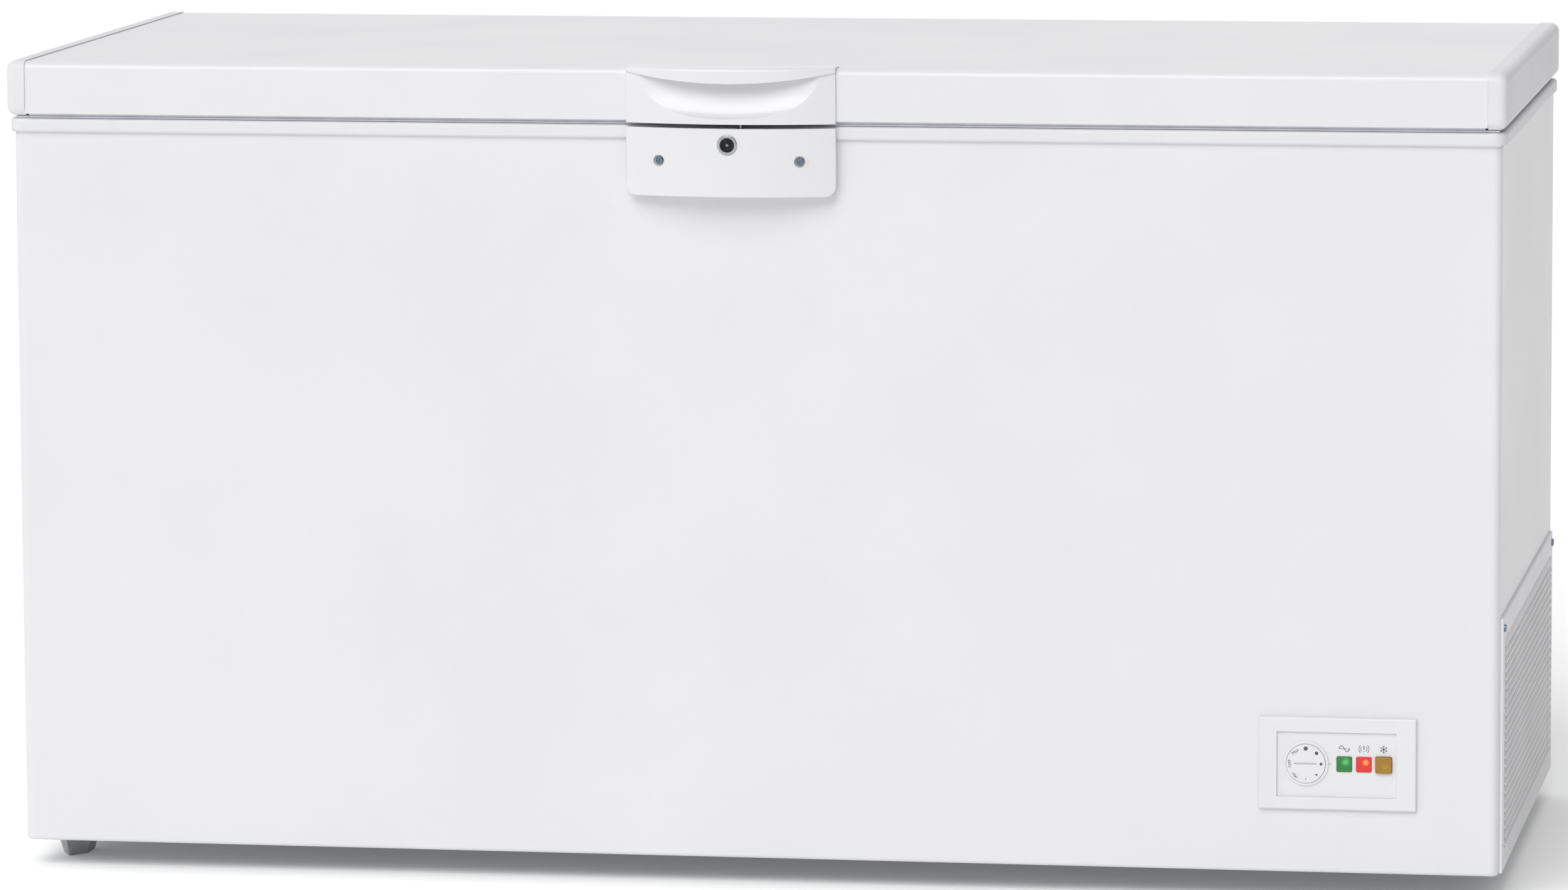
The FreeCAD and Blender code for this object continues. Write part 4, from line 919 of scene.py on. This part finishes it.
# ---------------------------------------------------------------- studio
@dataclass
class Studio:
    """Camera at the viewing angle, pale floor and soft lights."""

    place: Point = (1.4325, -8.4496, 1.5175)
    yaw: float = -9.749
    pitch: float = 7.321
    roll: float = -0.284
    lens: float = 185.96
    floor_size: float = 60.0
    main_energy: float = 1.62
    main_width: float = 42.0
    main_turn: float = 10.0
    main_lift: float = 44.0

    def camera(self) -> None:
        """Puts up the camera."""
        yaw, pitch, roll = (math.radians(v) for v in (self.yaw, self.pitch, self.roll))
        ahead = Vector((math.sin(yaw) * math.cos(pitch), math.cos(yaw) * math.cos(pitch), -math.sin(pitch)))
        right = Vector((math.cos(yaw), -math.sin(yaw), 0.0))
        up = right.cross(ahead)
        right_rolled = right * math.cos(roll) + up * math.sin(roll)
        up_rolled = up * math.cos(roll) - right * math.sin(roll)
        data = bpy.data.cameras.new("studio_camera")
        data.lens = self.lens
        data.sensor_width = 36.0
        data.clip_end = 200.0
        thing = bpy.data.objects.new("studio_camera", data)
        bpy.context.scene.collection.objects.link(thing)
        turn = Matrix((right_rolled, up_rolled, -ahead)).transposed().to_4x4()
        thing.matrix_world = Matrix.Translation(self.place) @ turn
        bpy.context.scene.camera = thing

    def floor(self) -> None:
        """Lays the pale floor."""
        deselect()
        bpy.ops.mesh.primitive_plane_add(size=self.floor_size, location=(0, 0, 0))
        floor = bpy.context.object
        floor.name = "studio_floor"
        material, tree, output = new_material("pale_floor")
        place = add_node(tree, "ShaderNodeTexCoord")
        grain = add_node(tree, "ShaderNodeTexNoise", {"Scale": 3.0, "Detail": 3.0},
                         {"Vector": (place, "Object")})
        tone = add_node(tree, "ShaderNodeMix", {"data_type": "RGBA"}, {"Factor": (grain, "Fac")})
        tone.inputs[6].default_value = linear("FDFDFD")
        tone.inputs[7].default_value = linear("FCFCFC")
        shader = add_node(tree, "ShaderNodeBsdfPrincipled", {"Roughness": 0.9, "Specular IOR Level": 0.0,
                                                             "Emission Color": linear("FFFFFF"),
                                                             "Emission Strength": 0.1},
                          {"Base Color": (tone, "2")})
        tree.links.new(shader.outputs["BSDF"], output.inputs["Surface"])
        floor.data.materials.append(material)

    def soft_light(self, name: str, place: Point, target: Point, size: Tuple[float, float],
                   watts: float) -> None:
        """Hangs a soft box.

        Args:
            name: the light's name.
            place: where it hangs.
            target: what it faces.
            size: width and height.
            watts: its power.
        """
        data = bpy.data.lights.new(name, "AREA")
        data.shape = "RECTANGLE"
        data.size, data.size_y = size
        data.energy = watts
        light = bpy.data.objects.new(name, data)
        bpy.context.scene.collection.objects.link(light)
        towards = (Vector(target) - Vector(place)).to_track_quat("-Z", "Y")
        light.matrix_world = Matrix.Translation(place) @ towards.to_matrix().to_4x4()

    def overhead(self) -> None:
        """Hangs the main light: broad, from above the front, a little to the left."""
        data = bpy.data.lights.new("main_light", "SUN")
        data.energy = self.main_energy
        data.angle = math.radians(self.main_width)
        light = bpy.data.objects.new("main_light", data)
        bpy.context.scene.collection.objects.link(light)
        turn, lift = math.radians(self.main_turn), math.radians(self.main_lift)
        towards = Vector((math.sin(turn) * math.cos(lift), math.cos(turn) * math.cos(lift), -math.sin(lift)))
        turned = towards.to_track_quat("-Z", "Y").to_matrix().to_4x4()
        light.matrix_world = Matrix.Translation((0, -3, 4)) @ turned

    def world(self) -> None:
        """Surrounds the scene with white, darker towards the front and the compressor side."""
        world = bpy.data.worlds.new("studio_white")
        bpy.context.scene.world = world
        world.use_nodes = True
        tree = world.node_tree
        tree.nodes.clear()
        output = tree.nodes.new("ShaderNodeOutputWorld")
        place = add_node(tree, "ShaderNodeTexCoord")
        split = add_node(tree, "ShaderNodeSeparateXYZ", {}, {"Vector": (place, "Generated")})
        sideways = add_node(tree, "ShaderNodeMapRange", {"interpolation_type": "SMOOTHSTEP", "From Min": 0.05,
                                                         "From Max": 0.8, "To Min": 1.0, "To Max": 0.2},
                            {"Value": (split, "X")})
        rearward = add_node(tree, "ShaderNodeMapRange", {"interpolation_type": "SMOOTHSTEP", "From Min": -0.3,
                                                         "From Max": 0.5, "To Min": 0.5, "To Max": 0.96},
                            {"Value": (split, "Y")})
        both = add_node(tree, "ShaderNodeMath", {"operation": "MULTIPLY"},
                        {"0": (sideways, "Result"), "1": (rearward, "Result")})
        light = add_node(tree, "ShaderNodeBackground", {"Color": linear("FFFFFF")},
                         {"Strength": (both, "Value")})
        tree.links.new(light.outputs["Background"], output.inputs["Surface"])

    def build(self) -> None:
        """Sets up the whole studio."""
        self.camera()
        self.floor()
        self.world()
        self.soft_light("left_soft_box", (-3.0, -3.2, 2.2), (0.0, -0.3, 0.7), (0.7, 1.2), 9.0)
        self.soft_light("right_soft_box", (2.6, -3.6, 2.3), (0.0, -0.3, 0.7), (0.6, 1.0), 6.0)
        self.overhead()
        bpy.context.scene.view_settings.view_transform = "Standard"
        log.info("studio")


def main() -> None:
    """Builds the freezer's looks in order."""
    logging.basicConfig(level=logging.INFO, format="%(name)s: %(message)s")
    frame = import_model()
    Studio().build()
    cabinet = Cabinet(frame)
    cabinet.dress_nodes()
    cabinet.dress_lamps()
    BellowsGasket().build()
    for node, body in (("basket_left", "left_basket"), ("basket_right", "right_basket")):
        WireBasket(node, body).build()
    PanelPrint().build()
    LockPost().build()


if __name__ == "__main__":
    main()
